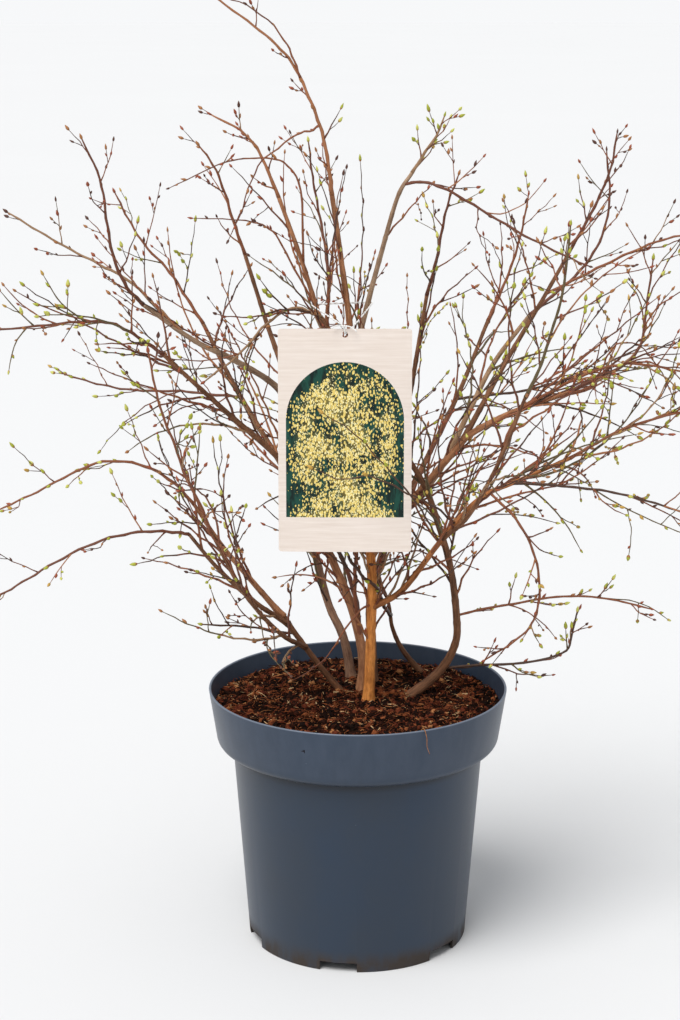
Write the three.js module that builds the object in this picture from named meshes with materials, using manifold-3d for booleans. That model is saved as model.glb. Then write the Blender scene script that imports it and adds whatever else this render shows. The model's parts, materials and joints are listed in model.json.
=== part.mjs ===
// A potted winter hazel in early spring: a bare shrub of seven stems in a round nursery pot, with a
// picture label tied to it. Millimetres, +Z up. The origin is the middle of the pot's flat underside,
// and the plant's front faces -Y. Stems and boughs are tapering limbs, and every mass of twigs
// branches from one leader by a seeded rule.
import * as THREE from "three";
import { mergeVertices } from "three/addons/utils/BufferGeometryUtils.js";
import Module from "manifold-3d";

const wasm = await Module();
wasm.setup();

// Clear space between two pieces that meet
const GAP = 0.35;

// Detail finer than this is dropped where twigs are joined
const JOIN_TOLERANCE = 0.08;

// The pot, and the potting mix that fills it
const POT = {
  height: 266,
  lipRadius: 152.6,
  collarFootZ: 207,
  collarFootRadius: 143.5,
  bodyTopRadius: 128.5,
  footRadius: 113,
  wall: 2.4,
  floorZ: 10,
  floorThickness: 3,
  padRadius: 46,
  padSlope: 5,
  notches: 6,
  notchWidth: 38,
  notchDepth: 30,
  firstNotchTurn: -100.3,
  sides: 44,
};
const SOIL = { top: 252, edge: 247, plateauRadius: 116 };

// The picture label and its tie
const CARD = {
  width: 129,
  height: 217,
  thickness: 0.9,
  corner: 3,
  holeRadius: 3,
  holeDrop: 5.5,
  holeAt: [-13.4, -58, 638],
  lean: 5,
};
const TIE = { radius: 0.6, sides: 4, rings: 44, height: 656, slack: 0.25 };

// Limbs: sides of the tube, length of one straight run, and the root flare of a stem
const LIMB = { stemSides: 7, boughSides: 5, run: 42, flare: 0.4, flareHeight: 16 };

// Twigs. A mass is one leader with side shoots, and side shoots carry smaller ones.
const TWIG = {
  sides: 3,
  leaderRun: 36,
  shootRun: 34,
  leaderZigzag: 1.6,
  leaderTip: 0.9,
  tipRadius: 0.36,
  rootShare: 0.52,
  shootAngle: 52,
  angleSpread: 26,
  lift: 0.34,
  zigzag: 0.13,
  turnSpread: 0.3,
  shoots: 6,
  firstShoot: 0.55,
  placeSpread: 0.4,
  bareTip: 0.2,
  shortest: 0.6,
  lengthSpread: 0.5,
  shootTaper: 0.35,
  spurs: 1,
  spurLength: 0.46,
  clearance: 0.7,
  tries: 3,
  shortening: 0.25,
  narrowing: 0.45,
};

// Finishes
const PLASTIC = new THREE.MeshStandardMaterial({ color: 0x4a525c, roughness: 0.5, metalness: 0 });
const MIX = new THREE.MeshStandardMaterial({ color: 0x3a1f16, roughness: 0.95, metalness: 0 });
const PRINT = new THREE.MeshStandardMaterial({ color: 0xd8cfc0, roughness: 0.45, metalness: 0 });
const STRING = new THREE.MeshStandardMaterial({ color: 0xe9e8e4, roughness: 0.7, metalness: 0 });
const TAN_BARK = new THREE.MeshStandardMaterial({ color: 0xa5692f, roughness: 0.8, metalness: 0 });
const BROWN_BARK = new THREE.MeshStandardMaterial({ color: 0x6d4a35, roughness: 0.85, metalness: 0 });
const YOUNG_BARK = new THREE.MeshStandardMaterial({ color: 0x5e3029, roughness: 0.75, metalness: 0 });

const group = new THREE.Group();
const curves = new Map();
const tubes = new Map();
const heirs = new Map();
const taken = [];

/** Adds one piece to the plant under its plain name. */
function piece(name, geometry, material) {
  const mesh = new THREE.Mesh(geometry, material);
  mesh.name = name;
  group.add(mesh);
  return mesh;
}

/** Turns a closed geometry into a solid that can be joined and cut. */
function solid(geometry) {
  const bare = geometry.clone();
  bare.deleteAttribute("normal");
  bare.deleteAttribute("uv");
  const merged = mergeVertices(bare, 1e-5);
  return new wasm.Manifold(new wasm.Mesh({
    numProp: 3,
    vertProperties: new Float32Array(merged.attributes.position.array),
    triVerts: new Uint32Array(merged.index.array),
    tolerance: JOIN_TOLERANCE,
  }));
}

/** Turns a solid back into a geometry. */
function toGeometry(body) {
  const mesh = body.getMesh();
  const geometry = new THREE.BufferGeometry();
  geometry.setAttribute("position", new THREE.BufferAttribute(mesh.vertProperties, 3));
  geometry.setIndex(new THREE.BufferAttribute(mesh.triVerts, 1));
  geometry.computeVertexNormals();
  return geometry;
}

/** Keeps the largest body of a cut solid and drops loose scraps. */
function largest(body) {
  return body.decompose().reduce((best, part) => (part.volume() > best.volume() ? part : best));
}

/** A smooth line through a limb's chosen points. */
function centreline(points) {
  const places = points.map((p) => (p.isVector3 ? p : new THREE.Vector3(...p)));
  return new THREE.CatmullRomCurve3(places, false, "catmullrom", 0.5);
}

/** Evenly numbered points along a curve. */
function along(curve, runs) {
  return Array.from({ length: runs + 1 }, (_, k) => curve.getPoint(k / runs));
}

/** Some direction square to a heading, level where it can be. */
function square(heading) {
  const up = Math.abs(heading.z) > 0.9 ? new THREE.Vector3(1, 0, 0) : new THREE.Vector3(0, 0, 1);
  return new THREE.Vector3().crossVectors(up, heading).normalize();
}

/** The heading of a line of points at point k. */
function headingAt(points, k) {
  const before = points[Math.max(k - 1, 0)];
  const after = points[Math.min(k + 1, points.length - 1)];
  return new THREE.Vector3().subVectors(after, before).normalize();
}

/** The heading at each point of a line, with two directions square to it that never spin round it. */
function framesAlong(points, levelFoot) {
  const frames = [];
  let side = null;
  points.forEach((_, k) => {
    const heading = levelFoot && k === 0 ? new THREE.Vector3(0, 0, 1) : headingAt(points, k);
    side = side ? side.clone().addScaledVector(heading, -side.dot(heading)).normalize() : square(heading);
    frames.push({ heading, side, other: new THREE.Vector3().crossVectors(side, heading) });
  });
  return frames;
}

/** A closed tube: one ring of the given radius round each point, the first one level if it is a foot. */
function tube(points, radii, sides, levelFoot = false) {
  const last = points.length - 1;
  const geometry = new THREE.CylinderGeometry(1, 1, 1, sides, last);
  const frames = framesAlong(points, levelFoot);
  const place = geometry.attributes.position;
  const spot = new THREE.Vector3();
  for (let i = 0; i < place.count; i++) {
    spot.fromBufferAttribute(place, i);
    const k = Math.round((spot.y + 0.5) * last);
    const at = points[k].clone();
    at.addScaledVector(frames[k].side, spot.x * radii[k]);
    at.addScaledVector(frames[k].other, spot.z * radii[k]);
    place.setXYZ(i, at.x, at.y, at.z);
  }
  return geometry;
}

/** The same tube grown by the gap all round and at both ends, to cut the pieces that meet it. */
function swollen({ points, radii, sides, levelFoot }) {
  const grown = points.map((p) => p.clone());
  const last = points.length - 1;
  grown[0].addScaledVector(headingAt(points, 0), -GAP);
  grown[last].addScaledVector(headingAt(points, last), GAP);
  const margin = GAP / Math.cos(Math.PI / sides);
  return solid(tube(grown, radii.map((r) => r + margin), sides, levelFoot));
}

/** Notes a limb's runs, so that later twigs can keep clear of them. */
function occupy(owner, points, radii) {
  for (let k = 1; k < points.length; k++) {
    taken.push({ owner, a: points[k - 1], b: points[k], radius: Math.max(radii[k - 1], radii[k]) });
  }
}

/** The pieces that a new one growing from this limb may touch at its root: the limb and its heirs. */
function kin(parent) {
  return [parent, ...(heirs.get(parent) ?? [])];
}

/** Cuts a piece clear of the limb it grows from and of what already grows from that limb. */
function cutClear(body, parent) {
  const cut = kin(parent).reduce((rest, name) => rest.subtract(swollen(tubes.get(name))), body);
  return largest(cut);
}

/** One tapering stem or bough. A stem has a flat foot on the potting mix, and a bough leaves its parent. */
function limb({ name, from, foot, through, radius, bark }) {
  const start = foot ? new THREE.Vector3(...foot, SOIL.top + GAP) : curves.get(from[0]).getPoint(from[1]);
  const curve = centreline([start, ...through]);
  const runs = Math.max(4, Math.round(curve.getLength() / LIMB.run));
  const points = along(curve, runs);
  const radii = points.map((p, k) => {
    const plain = THREE.MathUtils.lerp(radius[0], radius[1], k / runs);
    const flare = foot ? LIMB.flare * Math.exp(-(p.z - start.z) / LIMB.flareHeight) : 0;
    return plain * (1 + flare);
  });
  const sides = foot ? LIMB.stemSides : LIMB.boughSides;
  const levelFoot = Boolean(foot);
  let body = solid(tube(points, radii, sides, levelFoot));
  if (!foot) {
    body = cutClear(body, from[0]);
    heirs.set(from[0], [...(heirs.get(from[0]) ?? []), name]);
  }
  curves.set(name, curve);
  tubes.set(name, { points, radii, sides, levelFoot });
  occupy(name, points, radii);
  piece(name, toGeometry(body), bark);
}

/** A repeatable run of numbers from 0 to 1. */
function dice(seed) {
  let state = seed;
  return () => {
    state = (state * 48271) % 2147483647;
    return state / 2147483647;
  };
}

/** The seed of the nth shoot on a shoot. */
function childSeed(seed, n) {
  return 1 + ((seed * 31 + 7919 * (n + 1)) % 2147483645);
}

/** The place at a share of a tube's length, with its radius and its frame there. */
function station({ points, radii }, share) {
  const lengths = points.slice(1).map((p, k) => p.distanceTo(points[k]));
  let left = share * lengths.reduce((sum, one) => sum + one, 0);
  let k = 0;
  while (k < lengths.length - 1 && left > lengths[k]) {
    left -= lengths[k];
    k += 1;
  }
  const part = Math.min(left / lengths[k], 1);
  const frame = framesAlong(points)[part < 0.5 ? k : k + 1];
  const radius = THREE.MathUtils.lerp(radii[k], radii[k + 1], part);
  return { at: points[k].clone().lerp(points[k + 1], part), frame, radius };
}

/** The points of one shoot: it turns up as it grows and zig-zags from bud to bud. */
function shootPoints(start, direction, length, runs) {
  const points = [start.clone()];
  const heading = direction.clone();
  const swing = square(direction);
  for (let k = 0; k < runs; k++) {
    heading.addScaledVector(swing, (k % 2 ? 2 : -1) * TWIG.zigzag);
    heading.z += TWIG.lift / runs;
    heading.normalize();
    points.push(points[k].clone().addScaledVector(heading, length / runs));
  }
  return points;
}

/** The direction in which the nth shoot leaves its parent: each through the middle of the next face. */
function shootDirection({ heading, side, other }, n, roll) {
  const turn = ((2 * n + 1) * Math.PI) / TWIG.sides + (roll() - 0.5) * TWIG.turnSpread;
  const angle = THREE.MathUtils.degToRad(TWIG.shootAngle + (roll() - 0.5) * TWIG.angleSpread);
  const direction = heading.clone().multiplyScalar(Math.cos(angle));
  direction.addScaledVector(side, Math.sin(angle) * Math.sin(turn));
  return direction.addScaledVector(other, Math.sin(angle) * Math.cos(turn));
}

/** Shortest distance between two straight runs. */
function runDistance(a, b, c, d) {
  const u = new THREE.Vector3().subVectors(b, a);
  const v = new THREE.Vector3().subVectors(d, c);
  const w = new THREE.Vector3().subVectors(a, c);
  const [uu, uv, vv, uw, vw] = [u.dot(u), u.dot(v), v.dot(v), u.dot(w), v.dot(w)];
  const spread = uu * vv - uv * uv;
  let s = spread > 1e-9 ? THREE.MathUtils.clamp((uv * vw - vv * uw) / spread, 0, 1) : 0;
  const t = THREE.MathUtils.clamp((uv * s + vw) / vv, 0, 1);
  s = THREE.MathUtils.clamp((uv * t - uw) / uu, 0, 1);
  return w.addScaledVector(u, s).addScaledVector(v, -t).length();
}

/** True where a twig's runs keep clear of everything that belongs to other pieces. */
function isClear(owner, points, radius) {
  return points.slice(1).every((b, k) => taken.every((other) => other.owner === owner
    || runDistance(points[k], b, other.a, other.b) > radius + other.radius + TWIG.clearance));
}

/** True where a twig stays in its mass's own space: a slim egg round the leader. */
function isInside(space, points) {
  return points.every((p) => {
    let nearest = { distance: Infinity, share: 0 };
    space.leader.forEach((q, k) => {
      const distance = p.distanceTo(q);
      if (distance < nearest.distance) nearest = { distance, share: k / (space.leader.length - 1) };
    });
    const room = 1 - TWIG.narrowing * Math.abs(2 * nearest.share - 1);
    return nearest.distance <= space.reach * room + TWIG.leaderRun / 2;
  });
}

/** Grows the shoots of one twig, and the spurs of each shoot, and returns their tubes. */
function growShoots({ owner, space, parent, seed, count, length, level }) {
  const grown = [];
  for (let n = 0; n < count; n++) {
    const own = childSeed(seed, n);
    const roll = dice(own);
    const share = (n + TWIG.firstShoot + TWIG.placeSpread * (roll() - 0.5)) / (count + TWIG.bareTip);
    const { at, frame, radius: girth } = station(parent, share);
    const direction = shootDirection(frame, n, roll);
    const full = length * (TWIG.shortest + TWIG.lengthSpread * roll()) * (1 - TWIG.shootTaper * share);
    const radius = Math.max(girth * TWIG.rootShare, TWIG.tipRadius);
    const runs = Math.max(level === 1 ? 2 : 1, Math.round(full / TWIG.shootRun));
    for (let attempt = 0; attempt < TWIG.tries; attempt++) {
      const points = shootPoints(at, direction, full * (1 - TWIG.shortening * attempt), runs);
      if (isClear(owner, points, radius) && isInside(space, points)) {
        const radii = points.map((_, k) => THREE.MathUtils.lerp(radius, TWIG.tipRadius, k / runs));
        grown.push({ points, radii });
        if (level === 1) {
          const spurs = { owner, space, parent: { points, radii }, seed: own, count: TWIG.spurs };
          grown.push(...growShoots({ ...spurs, length: full * TWIG.spurLength, level: 2 }));
        }
        break;
      }
    }
  }
  return grown;
}

/** One mass of bare twigs on a limb: a zig-zag leader through chosen points, with its shoots. */
function mass({ name, from, through, radius, reach, shoots = TWIG.shoots, seed }) {
  const start = curves.get(from[0]).getPoint(from[1]);
  const curve = centreline([start, ...through]);
  const runs = Math.max(4, Math.round(curve.getLength() / TWIG.leaderRun));
  const leader = along(curve, runs);
  leader.forEach((p, k) => {
    const swing = k === 0 || k === runs ? 0 : (k % 2 ? 1 : -1) * TWIG.leaderZigzag;
    p.addScaledVector(square(headingAt(leader, k)), swing);
  });
  const radii = leader.map((_, k) => THREE.MathUtils.lerp(radius, TWIG.leaderTip, k / runs));
  const space = { leader, reach };
  const first = { owner: name, space, parent: { points: leader, radii }, seed, count: shoots, length: reach };
  const grown = growShoots({ ...first, level: 1 });
  const twigs = [{ points: leader, radii }, ...grown];
  twigs.forEach(({ points, radii: girths }) => occupy(name, points, girths));
  const joined = twigs
    .map(({ points, radii: girths }) => solid(tube(points, girths, TWIG.sides)))
    .reduce((body, twig) => body.add(twig));
  const body = cutClear(joined, from[0]);
  heirs.set(from[0], [...(heirs.get(from[0]) ?? []), name]);
  tubes.set(name, { points: leader, radii, sides: TWIG.sides });
  piece(name, toGeometry(body), YOUNG_BARK);
}

/** The pot: a thin tapered wall under a deep collar, on a notched skirt and a low middle pad. */
function pot() {
  const { wall, floorZ, height } = POT;
  const floorTop = floorZ + POT.floorThickness;
  const profile = [
    [0, 0],
    [POT.padRadius, 0],
    [POT.padRadius + POT.padSlope, floorZ],
    [POT.footRadius - wall, floorZ],
    [POT.footRadius - wall, 0],
    [POT.footRadius, 0],
    [POT.bodyTopRadius, POT.collarFootZ],
    [POT.collarFootRadius, POT.collarFootZ],
    [POT.lipRadius, height],
    [POT.lipRadius - wall, height],
    [POT.collarFootRadius - wall, POT.collarFootZ + wall],
    [POT.bodyTopRadius - wall, POT.collarFootZ + wall],
    [POT.footRadius - wall, floorTop],
    [0, floorTop],
  ];
  let body = solid(turned(profile));
  for (let n = 0; n < POT.notches; n++) {
    const cutter = new THREE.BoxGeometry(POT.notchDepth, POT.notchWidth, 2 * floorZ);
    cutter.translate(POT.footRadius, 0, 0);
    cutter.rotateZ(THREE.MathUtils.degToRad(POT.firstNotchTurn + (n * 360) / POT.notches));
    body = body.subtract(solid(cutter));
  }
  piece("pot", toGeometry(body), PLASTIC);
}

/** A solid turned round Z from a closed outline of radius and height. */
function turned(profile) {
  const outline = profile.map(([r, z]) => new THREE.Vector2(r, z));
  const geometry = new THREE.LatheGeometry(outline, POT.sides);
  geometry.rotateX(Math.PI / 2);
  return geometry;
}

/** The potting mix: it fills the pot to a flat top that falls away at the edge. */
function soil() {
  const inset = POT.wall + GAP;
  const shelf = POT.collarFootZ + inset;
  const floorTop = POT.floorZ + POT.floorThickness + GAP;
  const collarSlope = (POT.lipRadius - POT.collarFootRadius) / (POT.height - POT.collarFootZ);
  const profile = [
    [0, floorTop],
    [POT.footRadius - inset, floorTop],
    [POT.bodyTopRadius - inset, shelf],
    [POT.collarFootRadius - inset, shelf],
    [POT.collarFootRadius - inset + collarSlope * (SOIL.edge - shelf), SOIL.edge],
    [SOIL.plateauRadius, SOIL.top],
    [0, SOIL.top],
  ];
  piece("soil", turned(profile), MIX);
}

/** The label: a thin card with round corners, hung from a hole near its top edge. */
function card() {
  const { width, height, corner, thickness, holeDrop } = CARD;
  const [left, right, bottom, top] = [-width / 2, width / 2, holeDrop - height, holeDrop];
  const outline = new THREE.Shape();
  outline.moveTo(left + corner, bottom);
  outline.absarc(right - corner, bottom + corner, corner, -Math.PI / 2, 0);
  outline.absarc(right - corner, top - corner, corner, 0, Math.PI / 2);
  outline.absarc(left + corner, top - corner, corner, Math.PI / 2, Math.PI);
  outline.absarc(left + corner, bottom + corner, corner, Math.PI, 1.5 * Math.PI);
  const hole = new THREE.Path();
  hole.absarc(0, 0, CARD.holeRadius, 0, 2 * Math.PI, true);
  outline.holes.push(hole);
  const flat = { depth: thickness, bevelEnabled: false, curveSegments: 3 };
  const geometry = new THREE.ExtrudeGeometry(outline, flat);
  geometry.translate(0, 0, -thickness / 2);
  const label = piece("label_card", toGeometry(solid(geometry)), PRINT);
  label.rotation.set(Math.PI / 2 - THREE.MathUtils.degToRad(CARD.lean), 0, 0);
  label.position.set(...CARD.holeAt);
}

/** Where a limb passes a height, with its radius there. */
function atHeight(name, height) {
  const { points, radii } = tubes.get(name);
  const k = points.findIndex((p, n) => n > 0 && p.z >= height);
  const share = (height - points[k - 1].z) / (points[k].z - points[k - 1].z);
  return { at: points[k - 1].clone().lerp(points[k], share), radius: Math.max(radii[k - 1], radii[k]) };
}

/** The tie: one closed loop through the card's hole, over its top edge and round the boughs behind. */
function tie(leftBough, rightBough) {
  const left = atHeight(leftBough, TIE.height);
  const right = atHeight(rightBough, TIE.height);
  const offset = TIE.radius + GAP;
  const [x, y, z] = CARD.holeAt;
  const wrap = ({ at, radius }, degrees) => {
    const turn = THREE.MathUtils.degToRad(degrees);
    const out = radius + offset + TIE.slack;
    return [at.x + out * Math.cos(turn), at.y + out * Math.sin(turn), TIE.height];
  };
  const throughHole = [
    [x, y - CARD.thickness / 2 - offset, z + CARD.holeRadius - TIE.radius],
    [x, y, z + TIE.radius],
    [x + 4, y + 6, z + 3],
  ];
  const roundRight = [-30, 30, 90].map((turn) => wrap(right, turn));
  const roundLeft = [90, 150, 210].map((turn) => wrap(left, turn));
  const overEdge = [
    [x - 9, y + 7, z + 12],
    [x - 2, y + 0.4, z + CARD.holeDrop + 2 * offset],
  ];
  const places = [...throughHole, ...roundRight, ...roundLeft, ...overEdge].map((p) => new THREE.Vector3(...p));
  const loop = new THREE.CatmullRomCurve3(places, true, "centripetal");
  const geometry = new THREE.TorusGeometry(2, 1, TIE.sides, TIE.rings);
  const place = geometry.attributes.position;
  for (let i = 0; i < place.count; i++) {
    const [px, py, pz] = [place.getX(i), place.getY(i), place.getZ(i)];
    const share = (Math.round((Math.atan2(py, px) / (2 * Math.PI)) * TIE.rings) + TIE.rings) % TIE.rings;
    const heading = loop.getTangent(share / TIE.rings);
    const side = new THREE.Vector3(0, 0, 1).cross(heading).normalize();
    const other = new THREE.Vector3().crossVectors(heading, side);
    const at = loop.getPoint(share / TIE.rings);
    at.addScaledVector(side, -(Math.hypot(px, py) - 2) * TIE.radius).addScaledVector(other, pz * TIE.radius);
    place.setXYZ(i, at.x, at.y, at.z);
  }
  piece("label_tie", toGeometry(solid(geometry)), STRING);
}

pot();
soil();

// Stems, from their flat foot on the potting mix up to their fork
const STEMS = [
  { name: "stem_front", foot: [11, -17], radius: [6.3, 5], bark: TAN_BARK,
    through: [[13, -22, 329], [14, -25, 374], [12, -28, 420]] },
  { name: "stem_second", foot: [4, 15], radius: [5, 3.8], bark: BROWN_BARK,
    through: [[5, 20, 292], [-7, 38, 340], [-26, 52, 384], [-52, 35, 452]] },
  { name: "stem_thick", foot: [-6, 62], radius: [7.4, 5.2], bark: TAN_BARK,
    through: [[-14, 64, 295], [-30, 74, 330], [-42, 82, 374], [-49, 84, 412], [-54, 80, 452]] },
  { name: "stem_rear_right", foot: [16, 42], radius: [5.2, 4], bark: BROWN_BARK,
    through: [[15, 52, 290], [14, 72, 336], [25, 92, 374], [37, 99, 412]] },
  { name: "stem_left_low", foot: [-17, 18], radius: [4.3, 3.5], bark: BROWN_BARK,
    through: [[-39, 10, 283], [-61, 0, 317], [-76, -10, 342]] },
  { name: "stem_right_low", foot: [53, 2], radius: [4.4, 1.9], bark: BROWN_BARK,
    through: [[84, 8, 278], [100, 4, 310], [100, 0, 344], [93, -5, 394], [80, -14, 440], [66, -20, 480],
      [44, -22, 516], [12, -15, 564], [-16, -8, 612], [-36, -2, 646]] },
  { name: "stem_thin", foot: [69, 78], radius: [2.8, 1], bark: BROWN_BARK,
    through: [[48, 75, 280], [37, 70, 306], [32, 60, 338], [18, 46, 376], [4, 34, 424]] },
];
STEMS.forEach(limb);

// Boughs, each from its parent to where it enters a mass of twigs
const BOUGHS = [
  { name: "bough_top", from: ["stem_front", 1], radius: [4.6, 2.3], bark: BROWN_BARK,
    through: [[6, -12, 480], [-4, 8, 560], [-8, 20, 630], [-17, 15, 700], [-26, 8, 765]] },
  { name: "bough_right", from: ["stem_front", 0.94], radius: [4.3, 2.4], bark: BROWN_BARK,
    through: [[54, 18, 454], [95, 15, 506], [115, 10, 528], [159, 0, 553], [209, -5, 572]] },
  { name: "bough_front_right", from: ["stem_front", 0.52], radius: [3.9, 1.9], bark: TAN_BARK,
    through: [[44, -35, 377], [80, -50, 430], [117, -60, 476], [153, -65, 495], [205, -60, 517]] },
  { name: "bough_left_long", from: ["stem_second", 1], radius: [3.3, 1.9], bark: BROWN_BARK,
    through: [[-80, 0, 504], [-127, -20, 552], [-151, -35, 578], [-188, -60, 619]] },
  { name: "bough_left_top", from: ["stem_thick", 1], radius: [4, 2.1], bark: BROWN_BARK,
    through: [[-62, 58, 510], [-78, 20, 568], [-122, -16, 606], [-159, -40, 629], [-206, -60, 667]] },
  { name: "bough_rear_left", from: ["stem_thick", 0.9], radius: [3.6, 2], bark: BROWN_BARK,
    through: [[-86, 124, 480], [-130, 165, 545], [-165, 190, 610]] },
  { name: "bough_rear", from: ["stem_thick", 0.97], radius: [3.4, 1.9], bark: BROWN_BARK,
    through: [[-38, 130, 520], [-34, 185, 590], [-30, 215, 650]] },
  { name: "bough_back_left", from: ["bough_left_top", 0.17], radius: [3.2, 1.9], bark: BROWN_BARK,
    through: [[-74, 88, 566], [-96, 106, 630], [-116, 112, 694]] },
  { name: "bough_right_back", from: ["stem_rear_right", 1], radius: [3.7, 2.1], bark: TAN_BARK,
    through: [[62, 78, 444], [85, 64, 478], [112, 70, 532], [139, 80, 585], [176, 90, 634]] },
  { name: "bough_rear_right", from: ["stem_rear_right", 0.9], radius: [3.4, 1.9], bark: BROWN_BARK,
    through: [[72, 140, 468], [112, 185, 540], [142, 212, 610]] },
  { name: "bough_rear_top", from: ["stem_rear_right", 0.96], radius: [3.4, 2], bark: BROWN_BARK,
    through: [[46, 124, 490], [60, 131, 570], [72, 124, 650]] },
  { name: "bough_left_low", from: ["stem_left_low", 1], radius: [3.3, 1.8], bark: BROWN_BARK,
    through: [[-104, -20, 379], [-136, -30, 422], [-162, -40, 466]] },
  { name: "bough_left_front", from: ["stem_left_low", 0.88], radius: [2.8, 1.7], bark: BROWN_BARK,
    through: [[-104, -38, 366], [-138, -60, 406], [-165, -76, 445]] },
  { name: "bough_front_left", from: ["stem_left_low", 0.55], radius: [2.6, 1.6], bark: BROWN_BARK,
    through: [[-78, -60, 340], [-110, -125, 400], [-138, -165, 470]] },
  { name: "bough_front_high", from: ["bough_front_right", 0.42], radius: [2.5, 1.6], bark: BROWN_BARK,
    through: [[104, -105, 470], [128, -150, 530], [150, -180, 600]] },
  { name: "bough_upper_left", from: ["bough_top", 0.36], radius: [3, 1.9], bark: BROWN_BARK,
    through: [[-24, 12, 596], [-41, 14, 652], [-58, 14, 706], [-78, 12, 762]] },
  { name: "bough_upper_right", from: ["bough_top", 0.5], radius: [3, 1.8], bark: BROWN_BARK,
    through: [[8, 28, 650], [22, 24, 704], [38, 12, 762], [52, 10, 786]] },
  { name: "bough_right_high", from: ["bough_right", 0.5], radius: [2.8, 1.7], bark: BROWN_BARK,
    through: [[148, 30, 596], [182, 34, 655], [212, 30, 712]] },
];
BOUGHS.forEach(limb);

card();
tie("bough_upper_left", "bough_upper_right");

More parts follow.
